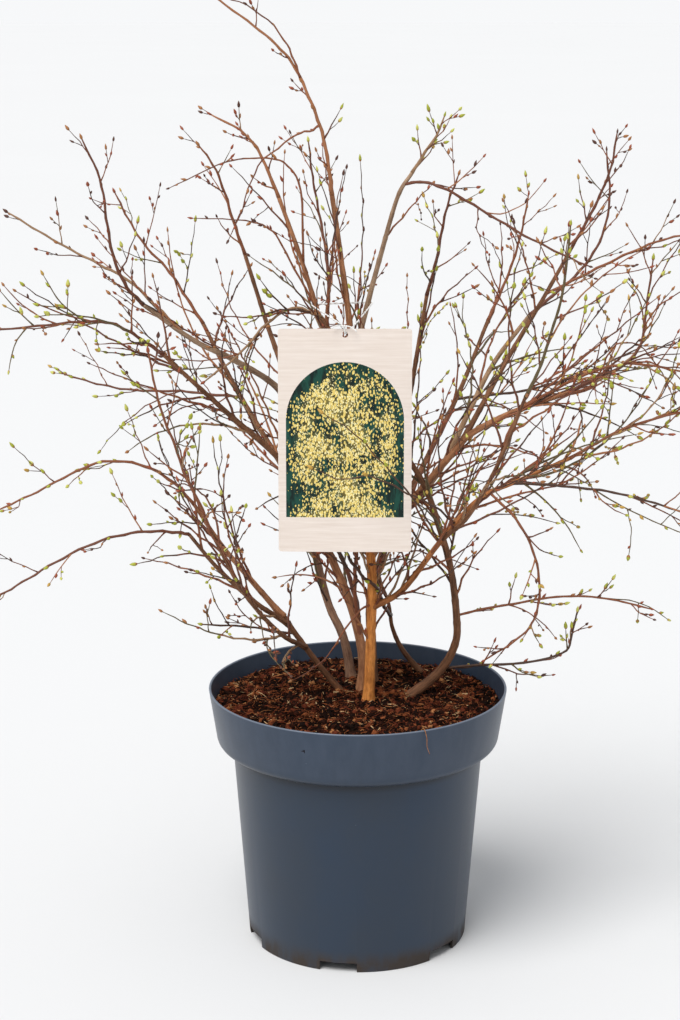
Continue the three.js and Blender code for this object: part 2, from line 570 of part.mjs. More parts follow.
// Masses of twigs, each with its leader's course and the reach of its own space
const MASSES = [
  { name: "twigs_top", from: ["bough_top", 1], radius: 1.9, reach: 34,
    through: [[-32, 2, 810], [-44, -4, 850], [-66, -5, 894], [-98, -10, 924], [-150, -16, 962]] },
  { name: "twigs_top_left", from: ["bough_upper_left", 1], radius: 1.7, reach: 48,
    through: [[-92, 10, 796], [-108, 6, 822], [-142, 0, 842]] },
  { name: "twigs_top_rear", from: ["bough_rear_top", 1], radius: 1.8, reach: 72,
    through: [[84, 114, 700], [90, 108, 740], [102, 100, 776]] },
  { name: "twigs_upper_right", from: ["bough_upper_right", 1], radius: 1.6, reach: 44,
    through: [[62, 8, 802], [74, 3, 820], [82, 0, 840]] },
  { name: "twigs_right_arch", from: ["bough_upper_right", 0.86], radius: 1.5, reach: 70,
    through: [[74, -2, 776], [118, -8, 752], [180, -20, 718], [222, -30, 700]] },
  { name: "twigs_left_arch", from: ["stem_right_low", 1], radius: 1.4, reach: 60,
    through: [[-72, -10, 656], [-107, -22, 622], [-150, -34, 588]] },
  { name: "twigs_left_top", from: ["bough_left_top", 1], radius: 1.8, reach: 66,
    through: [[-225, -65, 691], [-236, -70, 730], [-240, -70, 776], [-258, -76, 824]] },
  { name: "twigs_left_out", from: ["bough_left_top", 0.84], radius: 1.5, reach: 66,
    through: [[-222, -34, 686], [-278, -30, 716], [-336, -34, 752]] },
  { name: "twigs_left_long", from: ["bough_left_long", 1], radius: 1.6, reach: 68,
    through: [[-220, -80, 645], [-246, -92, 656], [-293, -106, 654], [-350, -116, 650]] },
  { name: "twigs_left_low", from: ["bough_left_low", 1], radius: 1.6, reach: 74,
    through: [[-196, -44, 500], [-250, -52, 512], [-300, -60, 490], [-352, -64, 466]] },
  { name: "twigs_left_front", from: ["bough_left_front", 1], radius: 1.5, reach: 74,
    through: [[-200, -92, 452], [-253, -112, 446], [-310, -120, 416], [-352, -124, 392]] },
  { name: "twigs_rear_left", from: ["bough_rear_left", 1], radius: 1.7, reach: 84, shoots: 7,
    through: [[-196, 206, 656], [-234, 214, 700], [-258, 206, 748]] },
  { name: "twigs_rear_left_low", from: ["bough_rear_left", 0.62], radius: 1.5, reach: 78,
    through: [[-190, 170, 540], [-256, 186, 540], [-318, 190, 556]] },
  { name: "twigs_back_left", from: ["bough_back_left", 1], radius: 1.7, reach: 66,
    through: [[-130, 110, 736], [-142, 100, 776], [-160, 90, 806]] },
  { name: "twigs_rear", from: ["bough_rear", 1], radius: 1.7, reach: 82, shoots: 7,
    through: [[-36, 232, 700], [-46, 240, 750], [-52, 232, 800]] },
  { name: "twigs_rear_low", from: ["bough_rear", 0.6], radius: 1.5, reach: 78,
    through: [[-14, 216, 590], [-4, 270, 604], [4, 322, 640]] },
  { name: "twigs_right", from: ["bough_right", 1], radius: 1.9, reach: 66,
    through: [[244, 0, 589], [275, 5, 608], [283, 10, 642], [290, 15, 700]] },
  { name: "twigs_right_edge", from: ["bough_right", 0.8], radius: 1.5, reach: 66,
    through: [[214, -36, 592], [268, -48, 608], [346, -54, 592]] },
  { name: "twigs_right_high", from: ["bough_right_high", 1], radius: 1.6, reach: 56,
    through: [[232, 24, 752], [244, 14, 784], [250, 8, 824]] },
  { name: "twigs_right_out", from: ["bough_right_high", 0.72], radius: 1.5, reach: 68,
    through: [[236, 26, 690], [286, 16, 716], [332, 6, 728]] },
  { name: "twigs_right_back", from: ["bough_right_back", 1], radius: 1.8, reach: 74,
    through: [[206, 95, 659], [238, 100, 692], [256, 102, 738], [252, 102, 800]] },
  { name: "twigs_rear_right", from: ["bough_rear_right", 1], radius: 1.7, reach: 84, shoots: 7,
    through: [[162, 226, 650], [176, 228, 696], [184, 220, 744]] },
  { name: "twigs_low_rear", from: ["bough_rear_right", 0.62], radius: 1.5, reach: 78,
    through: [[180, 196, 536], [244, 206, 552], [304, 206, 580]] },
  { name: "twigs_front_right", from: ["bough_front_right", 1], radius: 1.6, reach: 66,
    through: [[232, -55, 531], [262, -48, 546], [318, -44, 560], [352, -40, 562]] },
  { name: "twigs_low_side", from: ["bough_front_right", 0.78], radius: 1.4, reach: 66,
    through: [[206, -92, 496], [270, -100, 486], [338, -100, 462]] },
  { name: "twigs_hanging", from: ["bough_front_right", 0.66], radius: 1.3, reach: 46,
    through: [[158, -78, 452], [175, -74, 410], [176, -68, 366], [160, -64, 338], [126, -60, 312]] },
  { name: "twigs_low_right", from: ["stem_right_low", 0.11], radius: 1.4, reach: 46,
    through: [[128, 4, 286], [200, -4, 296], [216, -6, 316], [222, -8, 346]] },
  { name: "twigs_level_right", from: ["stem_right_low", 0.29], radius: 1.3, reach: 48,
    through: [[160, 4, 352], [230, -4, 362], [296, -10, 350]] },
  { name: "twigs_left_rim", from: ["stem_left_low", 0.72], radius: 1.2, reach: 40, shoots: 5,
    through: [[-92, 14, 320], [-120, 10, 326], [-158, 2, 330]] },
  { name: "twigs_front_left", from: ["bough_front_left", 1], radius: 1.5, reach: 82, shoots: 7,
    through: [[-158, -192, 530], [-176, -220, 590], [-186, -236, 650]] },
  { name: "twigs_front_high", from: ["bough_front_high", 1], radius: 1.5, reach: 82, shoots: 7,
    through: [[166, -204, 650], [178, -220, 706], [182, -226, 760]] },
];
MASSES.forEach((one, n) => mass({ ...one, seed: 1009 + 733 * n }));

export default group;
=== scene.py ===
"""The looks of a potted winter hazel in early spring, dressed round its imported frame.

A bare shrub of seven stems stands in a round nursery pot full of potting mix, with a picture label
tied to it. Stems and boughs get their bark, every mass of twigs grows again by the frame's own
seeded rule and is carried to finer twigs and buds, and pot, mix, label and tie get their finish.
Sizes in the classes are millimetres. Every mesh is metres, +Z up, with the plant's front at -Y.
"""

import json
import logging
import math
from collections.abc import Sequence
from dataclasses import dataclass, field
from enum import Enum, IntEnum

import bmesh
import bpy
import numpy as np
from mathutils import Matrix, Vector, noise

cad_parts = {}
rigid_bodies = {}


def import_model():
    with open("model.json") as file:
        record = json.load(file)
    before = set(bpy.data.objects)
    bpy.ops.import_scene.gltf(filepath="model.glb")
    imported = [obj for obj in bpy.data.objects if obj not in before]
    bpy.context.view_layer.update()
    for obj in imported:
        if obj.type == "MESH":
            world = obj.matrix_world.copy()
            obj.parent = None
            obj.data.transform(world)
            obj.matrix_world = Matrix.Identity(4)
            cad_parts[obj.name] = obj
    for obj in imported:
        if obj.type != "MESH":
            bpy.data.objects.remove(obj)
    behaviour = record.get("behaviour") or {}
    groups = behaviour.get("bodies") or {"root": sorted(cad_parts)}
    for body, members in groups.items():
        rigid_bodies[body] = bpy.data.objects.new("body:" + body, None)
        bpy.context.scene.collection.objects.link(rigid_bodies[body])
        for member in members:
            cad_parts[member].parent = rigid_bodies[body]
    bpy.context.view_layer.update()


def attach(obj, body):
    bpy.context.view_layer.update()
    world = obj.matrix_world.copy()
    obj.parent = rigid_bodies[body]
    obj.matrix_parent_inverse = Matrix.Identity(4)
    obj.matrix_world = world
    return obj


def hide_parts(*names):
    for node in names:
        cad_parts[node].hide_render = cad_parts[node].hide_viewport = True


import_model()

LOG = logging.getLogger("winter hazel")
MM = 0.001
UP = np.array([0.0, 0.0, 1.0])
FULL_TURN = 2 * math.pi
STEEP = 0.9
TINY = 1e-9

Axes = tuple[np.ndarray, np.ndarray, np.ndarray]
Point = tuple[float, float, float]
Range = tuple[float, float]
Colour = tuple[float, float, float]
Feed = float | Colour | bpy.types.NodeSocket


class Bark(Enum):
    """The barks that a limb can have."""

    TAN = "tan"
    AMBER = "amber"
    GREY_TAN = "grey tan"
    ROSE = "rose"
    BROWN = "brown"
    RUSSET = "russet"
    GREY = "grey"

    @property
    def slot(self) -> str:
        """The record's material slot for this bark."""
        return "brown_bark" if self in (Bark.BROWN, Bark.RUSSET, Bark.GREY) else "tan_bark"


class Budding(Enum):
    """How far a mass of twigs is into spring: the share of its sprays whose buds are opening."""

    SHUT = 0.06
    STARTING = 0.3
    OPENING = 0.62


class Tint(Enum):
    """The bark tints of young wood, each a plain colour dealt out by spray."""

    RUSSET = 0
    CHESTNUT = 1
    UMBER = 2
    OLIVE = 3
    COPPER = 4
    FAWN = 5

    @property
    def darker(self) -> "Tint":
        """The tint of the same twig's younger tip: the next darker one."""
        tips = {Tint.RUSSET: Tint.CHESTNUT, Tint.CHESTNUT: Tint.UMBER, Tint.COPPER: Tint.RUSSET,
                Tint.FAWN: Tint.OLIVE}
        return tips.get(self, self)


class Draw(IntEnum):
    """What a seed's own seeds are for, so that no two draws share one."""

    TINT = 3
    LINE = 7
    BUDS = 11
    SPRING = 17
    SIDE_TWIGS = 50
    LONG_SHOOTS = 90


# Growth


def unit(v: np.ndarray) -> np.ndarray:
    """Returns v at length one."""
    return v / max(float(np.linalg.norm(v)), TINY)


def rounded(value: float) -> int:
    """Returns the nearest whole number, with halves going up."""
    return int(math.floor(value + 0.5))


def square(heading: np.ndarray) -> np.ndarray:
    """Returns some direction square to a heading, level where it can be."""
    up = np.array([1.0, 0.0, 0.0]) if abs(heading[2]) > STEEP else UP
    return unit(np.cross(up, heading))


def heading_at(points: np.ndarray, k: int) -> np.ndarray:
    """Returns the heading of a line of points at point k."""
    return unit(points[min(k + 1, len(points) - 1)] - points[max(k - 1, 0)])


def sideways(side: np.ndarray, other: np.ndarray, turn: float) -> np.ndarray:
    """Returns the direction at a turn from side towards other."""
    return side * math.cos(turn) + other * math.sin(turn)


def run_lengths(points: np.ndarray) -> np.ndarray:
    """Returns the lengths of the runs between a line's points."""
    return np.linalg.norm(np.diff(points, axis=0), axis=1)


def steps_along(points: np.ndarray) -> np.ndarray:
    """Returns how far along a line each of its points lies."""
    return np.concatenate([[0], np.cumsum(run_lengths(points))])


def tapered(foot: float, tip: float, runs: int) -> np.ndarray:
    """Returns radii that change evenly from foot to tip over some runs."""
    return foot + (tip - foot) * np.arange(runs + 1) / runs


def frames_along(points: np.ndarray, level_foot: bool = False) -> list[Axes]:
    """Gives each point of a line its heading and two directions square to it that never spin round it.

    Args:
        points: the line, one row a point.
        level_foot: whether the first heading is straight up.

    Returns:
        One (heading, side, other) for each point.
    """
    frames = []
    side = None
    for k in range(len(points)):
        heading = UP if level_foot and k == 0 else heading_at(points, k)
        side = square(heading) if side is None else unit(side - heading * float(side @ heading))
        frames.append((heading, side, np.cross(side, heading)))
    return frames


def swift_axes(points: np.ndarray) -> Axes:
    """Gives each point of a twig, which never doubles back, its heading and two directions square to it.

    Args:
        points: the twig's line, one row a point.

    Returns:
        The headings, the sides and the others, one row a point.
    """
    heading = np.gradient(points, axis=0)
    heading /= np.linalg.norm(heading, axis=1)[:, None]
    first = square(unit(points[-1] - points[0]))
    side = first - heading * (heading @ first)[:, None]
    side /= np.linalg.norm(side, axis=1)[:, None]
    return heading, side, np.cross(heading, side)


@dataclass
class Course:
    """A smooth line through chosen points, open or closed.

    Args:
        points: the chosen points, one row each.
        closed: whether the line returns to its first point, at a pace set by the gaps between points.
        least_pace: the least pace between two chosen points of a closed line.
        length_runs: into how many runs it is cut to measure it.
    """

    points: np.ndarray
    closed: bool = False
    least_pace: float = 0.001
    length_runs: int = 200

    def places(self, t: np.ndarray) -> np.ndarray:
        """Works out points of the line.

        Args:
            t: their places, as shares of the chosen points.

        Returns:
            The points, one row each.
        """
        points, n = self.points, len(self.points)
        place = (n if self.closed else n - 1) * t
        i = np.floor(place).astype(int)
        if self.closed:
            x0, x1, x2, x3 = (points[(i + k) % n] for k in (-1, 0, 1, 2))
            gaps = (np.linalg.norm(b - a, axis=1) for a, b in ((x0, x1), (x1, x2), (x2, x3)))
            d0, d1, d2 = (np.maximum(gap**0.5, self.least_pace)[:, None] for gap in gaps)
            t0 = ((x1 - x0) / d0 - (x2 - x0) / (d0 + d1) + (x2 - x1) / d1) * d1
            t1 = ((x2 - x1) / d1 - (x3 - x1) / (d1 + d2) + (x3 - x2) / d2) * d1
        else:
            i = np.minimum(i, n - 2)
            padded = np.concatenate([[2 * points[0] - points[1]], points, [2 * points[-1] - points[-2]]])
            x0, x1, x2, x3 = (padded[i + k] for k in range(4))
            t0, t1 = 0.5 * (x2 - x0), 0.5 * (x3 - x1)
        w = (place - i)[:, None]
        return x1 + t0 * w + (-3 * x1 + 3 * x2 - 2 * t0 - t1) * w**2 + (2 * x1 - 2 * x2 + t0 + t1) * w**3

    def at(self, t: float) -> np.ndarray:
        """Returns the point at share t of the chosen points."""
        return self.places(np.array([t]))[0]

    def along(self, runs: int) -> np.ndarray:
        """Returns points all along the line, with some runs between them."""
        return self.places(np.arange(runs + 1) / runs)

    def length(self) -> float:
        """Returns the line's length."""
        return float(run_lengths(self.along(self.length_runs)).sum())


def through(start: np.ndarray, points: Sequence[Point]) -> Course:
    """Returns the line from a start through chosen points."""
    return Course(np.array([start, *points], float))


class Dice:
    """A repeatable run of numbers from 0 to 1."""

    FACTOR = 48271
    SPAN = 2147483647

    def __init__(self, seed: int) -> None:
        """Starts the run at a seed."""
        self.state = seed

    def roll(self) -> float:
        """Returns the next number."""
        self.state = self.state * self.FACTOR % self.SPAN
        return self.state / self.SPAN

    def between(self, low: float, high: float) -> float:
        """Returns the next number, spread from low to high."""
        return low + (high - low) * self.roll()

    def around(self, spread: float) -> float:
        """Returns the next number, spread evenly to both sides of 0."""
        return (self.roll() - 0.5) * spread


def child_seed(seed: int, n: int) -> int:
    """Returns the seed of the nth shoot on a shoot."""
    spread, step = 31, 7919
    return 1 + (seed * spread + step * (n + 1)) % (Dice.SPAN - 2)


@dataclass(frozen=True)
class Branching:
    """How one order of shoots leaves its parent.

    Args:
        angle: degrees from the parent's heading.
        angle_spread: how far that angle varies.
        lift: how much a shoot turns up over its length.
        zigzag: how far it swings from run to run.
        turn_spread: how far its place round the parent varies.
        first: where the first shoot stands, in shoots.
        place_spread: how far each place varies, in shoots.
        bare_tip: how much of the parent's tip stays bare, in shoots.
        shortest: the shortest length, as a share of the full one.
        length_spread: what chance adds to that share.
        taper: how much shorter the last shoots are.
        run: the length of one straight run.
        arch: how far a shoot bends, to a side of its own, over its length.
        arch_range: the shares of that between which it varies.
        lift_spread: how far the lift varies.
        by_faces: whether places round the parent follow the frame's three-sided twigs.
        spiral: where they don't, the turn from shoot to shoot and that of the first, in radians.
    """

    angle: float = 52.0
    angle_spread: float = 26.0
    lift: float = 0.34
    zigzag: float = 0.13
    turn_spread: float = 0.3
    first: float = 0.55
    place_spread: float = 0.4
    bare_tip: float = 0.2
    shortest: float = 0.6
    length_spread: float = 0.5
    taper: float = 0.35
    run: float = 34.0
    arch: float = 0.0
    arch_range: Range = (0.3, 1.2)
    lift_spread: float = 0.0
    by_faces: bool = True
    spiral: Range = (2.4, 0.7)


@dataclass
class Twig:
    """One leader, shoot or spur: its line, its girth, and where it sits in the branching.

    Args:
        points: the line, one row a point.
        radii: the radius at each point.
        level: 0 for a leader, 1 for its shoots, and so on.
        seed: the seed it grew from.
        spray: the number of the spray it belongs to.
        parent: the twig that carries it.
        share: where on its parent it stands.
        fine: its finer line and the radii along it, once it has been refined.
        thin: whether it and its shoots are thinner than most.
    """

    points: np.ndarray
    radii: np.ndarray
    level: int
    seed: int
    spray: int = 0
    parent: "Twig | None" = None
    share: float = 0.0
    fine: tuple[np.ndarray, np.ndarray] | None = None
    thin: bool = False


@dataclass
class Space:
    """A mass's own room: a slim egg round its leader.

    Args:
        leader: the leader's line, one row a point.
        reach: how far the room reaches from it.
    """

    leader: np.ndarray
    reach: float


@dataclass(frozen=True)
class Laid:
    """One shoot laid along given points, where the photograph shows its arch.

    Args:
        share: where on its limb or leader it stands.
        spray: the number that deals out its tint and its buds.
        through: the points it passes after its start.
        radius: the radius at its start and at its tip.
    """

    share: float
    spray: int
    through: tuple[Point, ...]
    radius: Range = (0.9, 0.36)


@dataclass
class Limb:
    """One stem or bough, named as its node is.

    Args:
        name: the node's name.
        through: the points it passes after its start.
        radius: the radius at its foot and its tip.
        bark: its bark.
        foot: where a stem stands on the mix.
        parent: for a bough, the limb it leaves and the share of that limb's line.
        twiggy: the share of the usual number of long shoots that stand along it.
        laid: its shoots that are laid along given points.
        slim: how wide its bark is at the foot, as a share of the frame's limb.
    """

    name: str
    through: list[Point]
    radius: Range
    bark: Bark
    foot: Range | None = None
    parent: tuple[str, float] | None = None
    twiggy: float = 1.0
    laid: tuple[Laid, ...] = ()
    slim: float = 1.0


@dataclass
class Mass:
    """One mass of twigs, named as its node is.

    Args:
        name: the node's name.
        parent: the limb it grows from and the share of that limb's line.
        through: the points its leader passes after its start.
        radius: the leader's radius at its root.
        reach: how far its shoots may stand off the leader.
        shoots: the number of the frame's shoots on the leader.
        whips: the number of long shoots that fill it.
        budding: how far its buds are open.
        airy: whether its twigs are thinner and farther apart.
        tint: its leader's tint, or None for its spray's own.
        laid: its shoots that are laid along given points.
    """

    name: str
    parent: tuple[str, float]
    through: list[Point]
    radius: float
    reach: float
    shoots: int = 6
    whips: int = 4
    budding: Budding = Budding.STARTING
    airy: bool = False
    tint: Tint | None = None
    laid: tuple[Laid, ...] = ()


DARK_SPRAY, RED_SPRAY, BROWN_SPRAY = 4, 640, 930
SHUT, STARTING, OPENING = Budding.SHUT, Budding.STARTING, Budding.OPENING

STEMS = [
    Limb("stem_front", [(13, -22, 329), (14, -25, 374), (12, -28, 420)], (6.3, 5), Bark.TAN,
         foot=(11, -17), twiggy=1.5, slim=0.84, laid=(Laid(0.55, RED_SPRAY, ((0, -38, 355),
         (-18, -44, 331), (-28, -46, 315), (-45, -48, 299), (-66, -50, 287))),)),
    Limb("stem_second", [(5, 20, 292), (-7, 38, 340), (-26, 52, 384), (-52, 35, 452)], (5, 3.8),
         Bark.RUSSET, foot=(4, 15), laid=(Laid(0.34, BROWN_SPRAY, ((0, 30, 339), (-5, 34, 359),
         (-11, 36, 378), (-18, 34, 395), (-26, 30, 413)), (2.0, 1.68)),
         Laid(0.30, RED_SPRAY, ((0, 26, 325), (-2, 26, 344), (-3, 26, 366), (-2, 24, 392), (0, 20, 414),
         (1, 16, 432)), (1.7, 1.32)))),
    Limb("stem_thick", [(-14, 64, 295), (-30, 74, 330), (-42, 82, 374), (-49, 84, 412), (-54, 80, 452)],
         (7.4, 5.2), Bark.ROSE, foot=(-6, 62), slim=0.62, laid=(Laid(0.40, DARK_SPRAY, ((-38, 66, 350),
         (-44, 62, 363), (-48, 60, 377), (-52, 56, 391), (-55, 50, 408))),)),
    Limb("stem_rear_right", [(15, 52, 290), (14, 72, 336), (25, 92, 374), (37, 99, 412)], (5.2, 4),
         Bark.BROWN, foot=(16, 42)),
    Limb("stem_left_low", [(-39, 10, 283), (-61, 0, 317), (-76, -10, 342)], (4.3, 3.5), Bark.BROWN,
         foot=(-17, 18), twiggy=0.5, slim=0.7),
    Limb("stem_right_low", [(84, 8, 278), (100, 4, 310), (100, 0, 344), (93, -5, 394), (80, -14, 440),
         (66, -20, 480), (44, -22, 516), (12, -15, 564), (-16, -8, 612), (-36, -2, 646)], (4.4, 1.9),
         Bark.BROWN, foot=(53, 2), twiggy=1.25),
    Limb("stem_thin", [(48, 75, 280), (37, 70, 306), (32, 60, 338), (18, 46, 376), (4, 34, 424)],
         (2.8, 1), Bark.BROWN, foot=(69, 78), laid=(Laid(0.50, DARK_SPRAY, ((28, 30, 340), (22, -10, 365),
         (16, -38, 383), (6, -40, 391), (-7, -34, 406), (-12, -28, 415), (-20, -18, 428)), (1.5, 1.08)),)),
]

BOUGHS = [
    Limb("bough_top", [(6, -12, 480), (-4, 8, 560), (-8, 20, 630), (-17, 15, 700), (-26, 8, 765)],
         (4.6, 2.3), Bark.RUSSET, parent=("stem_front", 1)),
    Limb("bough_right", [(54, 18, 454), (95, 15, 506), (115, 10, 528), (159, 0, 553), (209, -5, 572)],
         (4.3, 2.4), Bark.RUSSET, parent=("stem_front", 0.94), twiggy=1.1,
         laid=(Laid(0.93, RED_SPRAY, ((225, -12, 577), (238, -18, 596), (244, -24, 613), (254, -30, 625),
         (274, -38, 623), (295, -44, 596), (306, -48, 572))),)),
    Limb("bough_front_right", [(44, -35, 377), (80, -50, 430), (117, -60, 476), (153, -65, 495),
         (205, -60, 517)], (3.9, 1.9), Bark.AMBER, parent=("stem_front", 0.52), twiggy=1.2, slim=0.85,
         laid=(Laid(0.40, DARK_SPRAY, ((70, -72, 452), (54, -92, 482), (26, -97, 516), (-4, -94, 548),
         (-34, -84, 566))), Laid(0.48, DARK_SPRAY, ((74, -84, 474), (44, -96, 492), (10, -98, 508),
         (-16, -96, 504), (-44, -92, 514))))),
    Limb("bough_left_long", [(-80, 0, 504), (-127, -20, 552), (-151, -35, 578), (-188, -60, 619)],
         (3.3, 1.9), Bark.BROWN, parent=("stem_second", 1), twiggy=1.5),
    Limb("bough_left_top", [(-62, 58, 510), (-78, 20, 568), (-122, -16, 606), (-159, -40, 629),
         (-206, -60, 667)], (4, 2.1), Bark.GREY, parent=("stem_thick", 1), twiggy=0.5),
    Limb("bough_rear_left", [(-86, 124, 480), (-130, 165, 545), (-165, 190, 610)], (3.6, 2), Bark.BROWN,
         parent=("stem_thick", 0.9), twiggy=0.5),
    Limb("bough_rear", [(-38, 130, 520), (-34, 185, 590), (-30, 215, 650)], (3.4, 1.9), Bark.BROWN,
         parent=("stem_thick", 0.97)),
    Limb("bough_back_left", [(-74, 88, 566), (-96, 106, 630), (-116, 112, 694)], (3.2, 1.9), Bark.BROWN,
         parent=("bough_left_top", 0.17), twiggy=0.3),
    Limb("bough_right_back", [(62, 78, 444), (85, 64, 478), (112, 70, 532), (139, 80, 585),
         (176, 90, 634)], (3.7, 2.1), Bark.GREY_TAN, parent=("stem_rear_right", 1), twiggy=0.6),
    Limb("bough_rear_right", [(72, 140, 468), (112, 185, 540), (142, 212, 610)], (3.4, 1.9), Bark.BROWN,
         parent=("stem_rear_right", 0.9), twiggy=0.7),
    Limb("bough_rear_top", [(46, 124, 490), (60, 131, 570), (72, 124, 650)], (3.4, 2), Bark.BROWN,
         parent=("stem_rear_right", 0.96), twiggy=0.6),
    Limb("bough_left_low", [(-104, -20, 379), (-136, -30, 422), (-162, -40, 466)], (3.3, 1.8),
         Bark.RUSSET, parent=("stem_left_low", 1), twiggy=0.4),
    Limb("bough_left_front", [(-104, -38, 366), (-138, -60, 406), (-165, -76, 445)], (2.8, 1.7),
         Bark.BROWN, parent=("stem_left_low", 0.88), twiggy=0.4),
    Limb("bough_front_left", [(-78, -60, 340), (-110, -125, 400), (-138, -165, 470)], (2.6, 1.6),
         Bark.BROWN, parent=("stem_left_low", 0.55), twiggy=0.5),
    Limb("bough_front_high", [(104, -105, 470), (128, -150, 530), (150, -180, 600)], (2.5, 1.6),
         Bark.BROWN, parent=("bough_front_right", 0.42)),
    Limb("bough_upper_left", [(-24, 12, 596), (-41, 14, 652), (-58, 14, 706), (-78, 12, 762)], (3, 1.9),
         Bark.RUSSET, parent=("bough_top", 0.36), laid=(Laid(0.70, RED_SPRAY, ((-56, 6, 768),
         (-68, 4, 792), (-82, 0, 800), (-108, -8, 801), (-132, -16, 797), (-161, -24, 784),
         (-181, -30, 775))), Laid(0.50, RED_SPRAY, ((-68, 8, 702), (-82, 2, 728), (-100, -4, 739),
         (-124, -12, 743), (-160, -20, 745))))),
    Limb("bough_upper_right", [(8, 28, 650), (22, 24, 704), (38, 12, 762), (52, 10, 786)], (3, 1.8),
         Bark.GREY, parent=("bough_top", 0.5), twiggy=0.7),
    Limb("bough_right_high", [(148, 30, 596), (182, 34, 655), (212, 30, 712)], (2.8, 1.7), Bark.BROWN,
         parent=("bough_right", 0.5), twiggy=0.4),
]

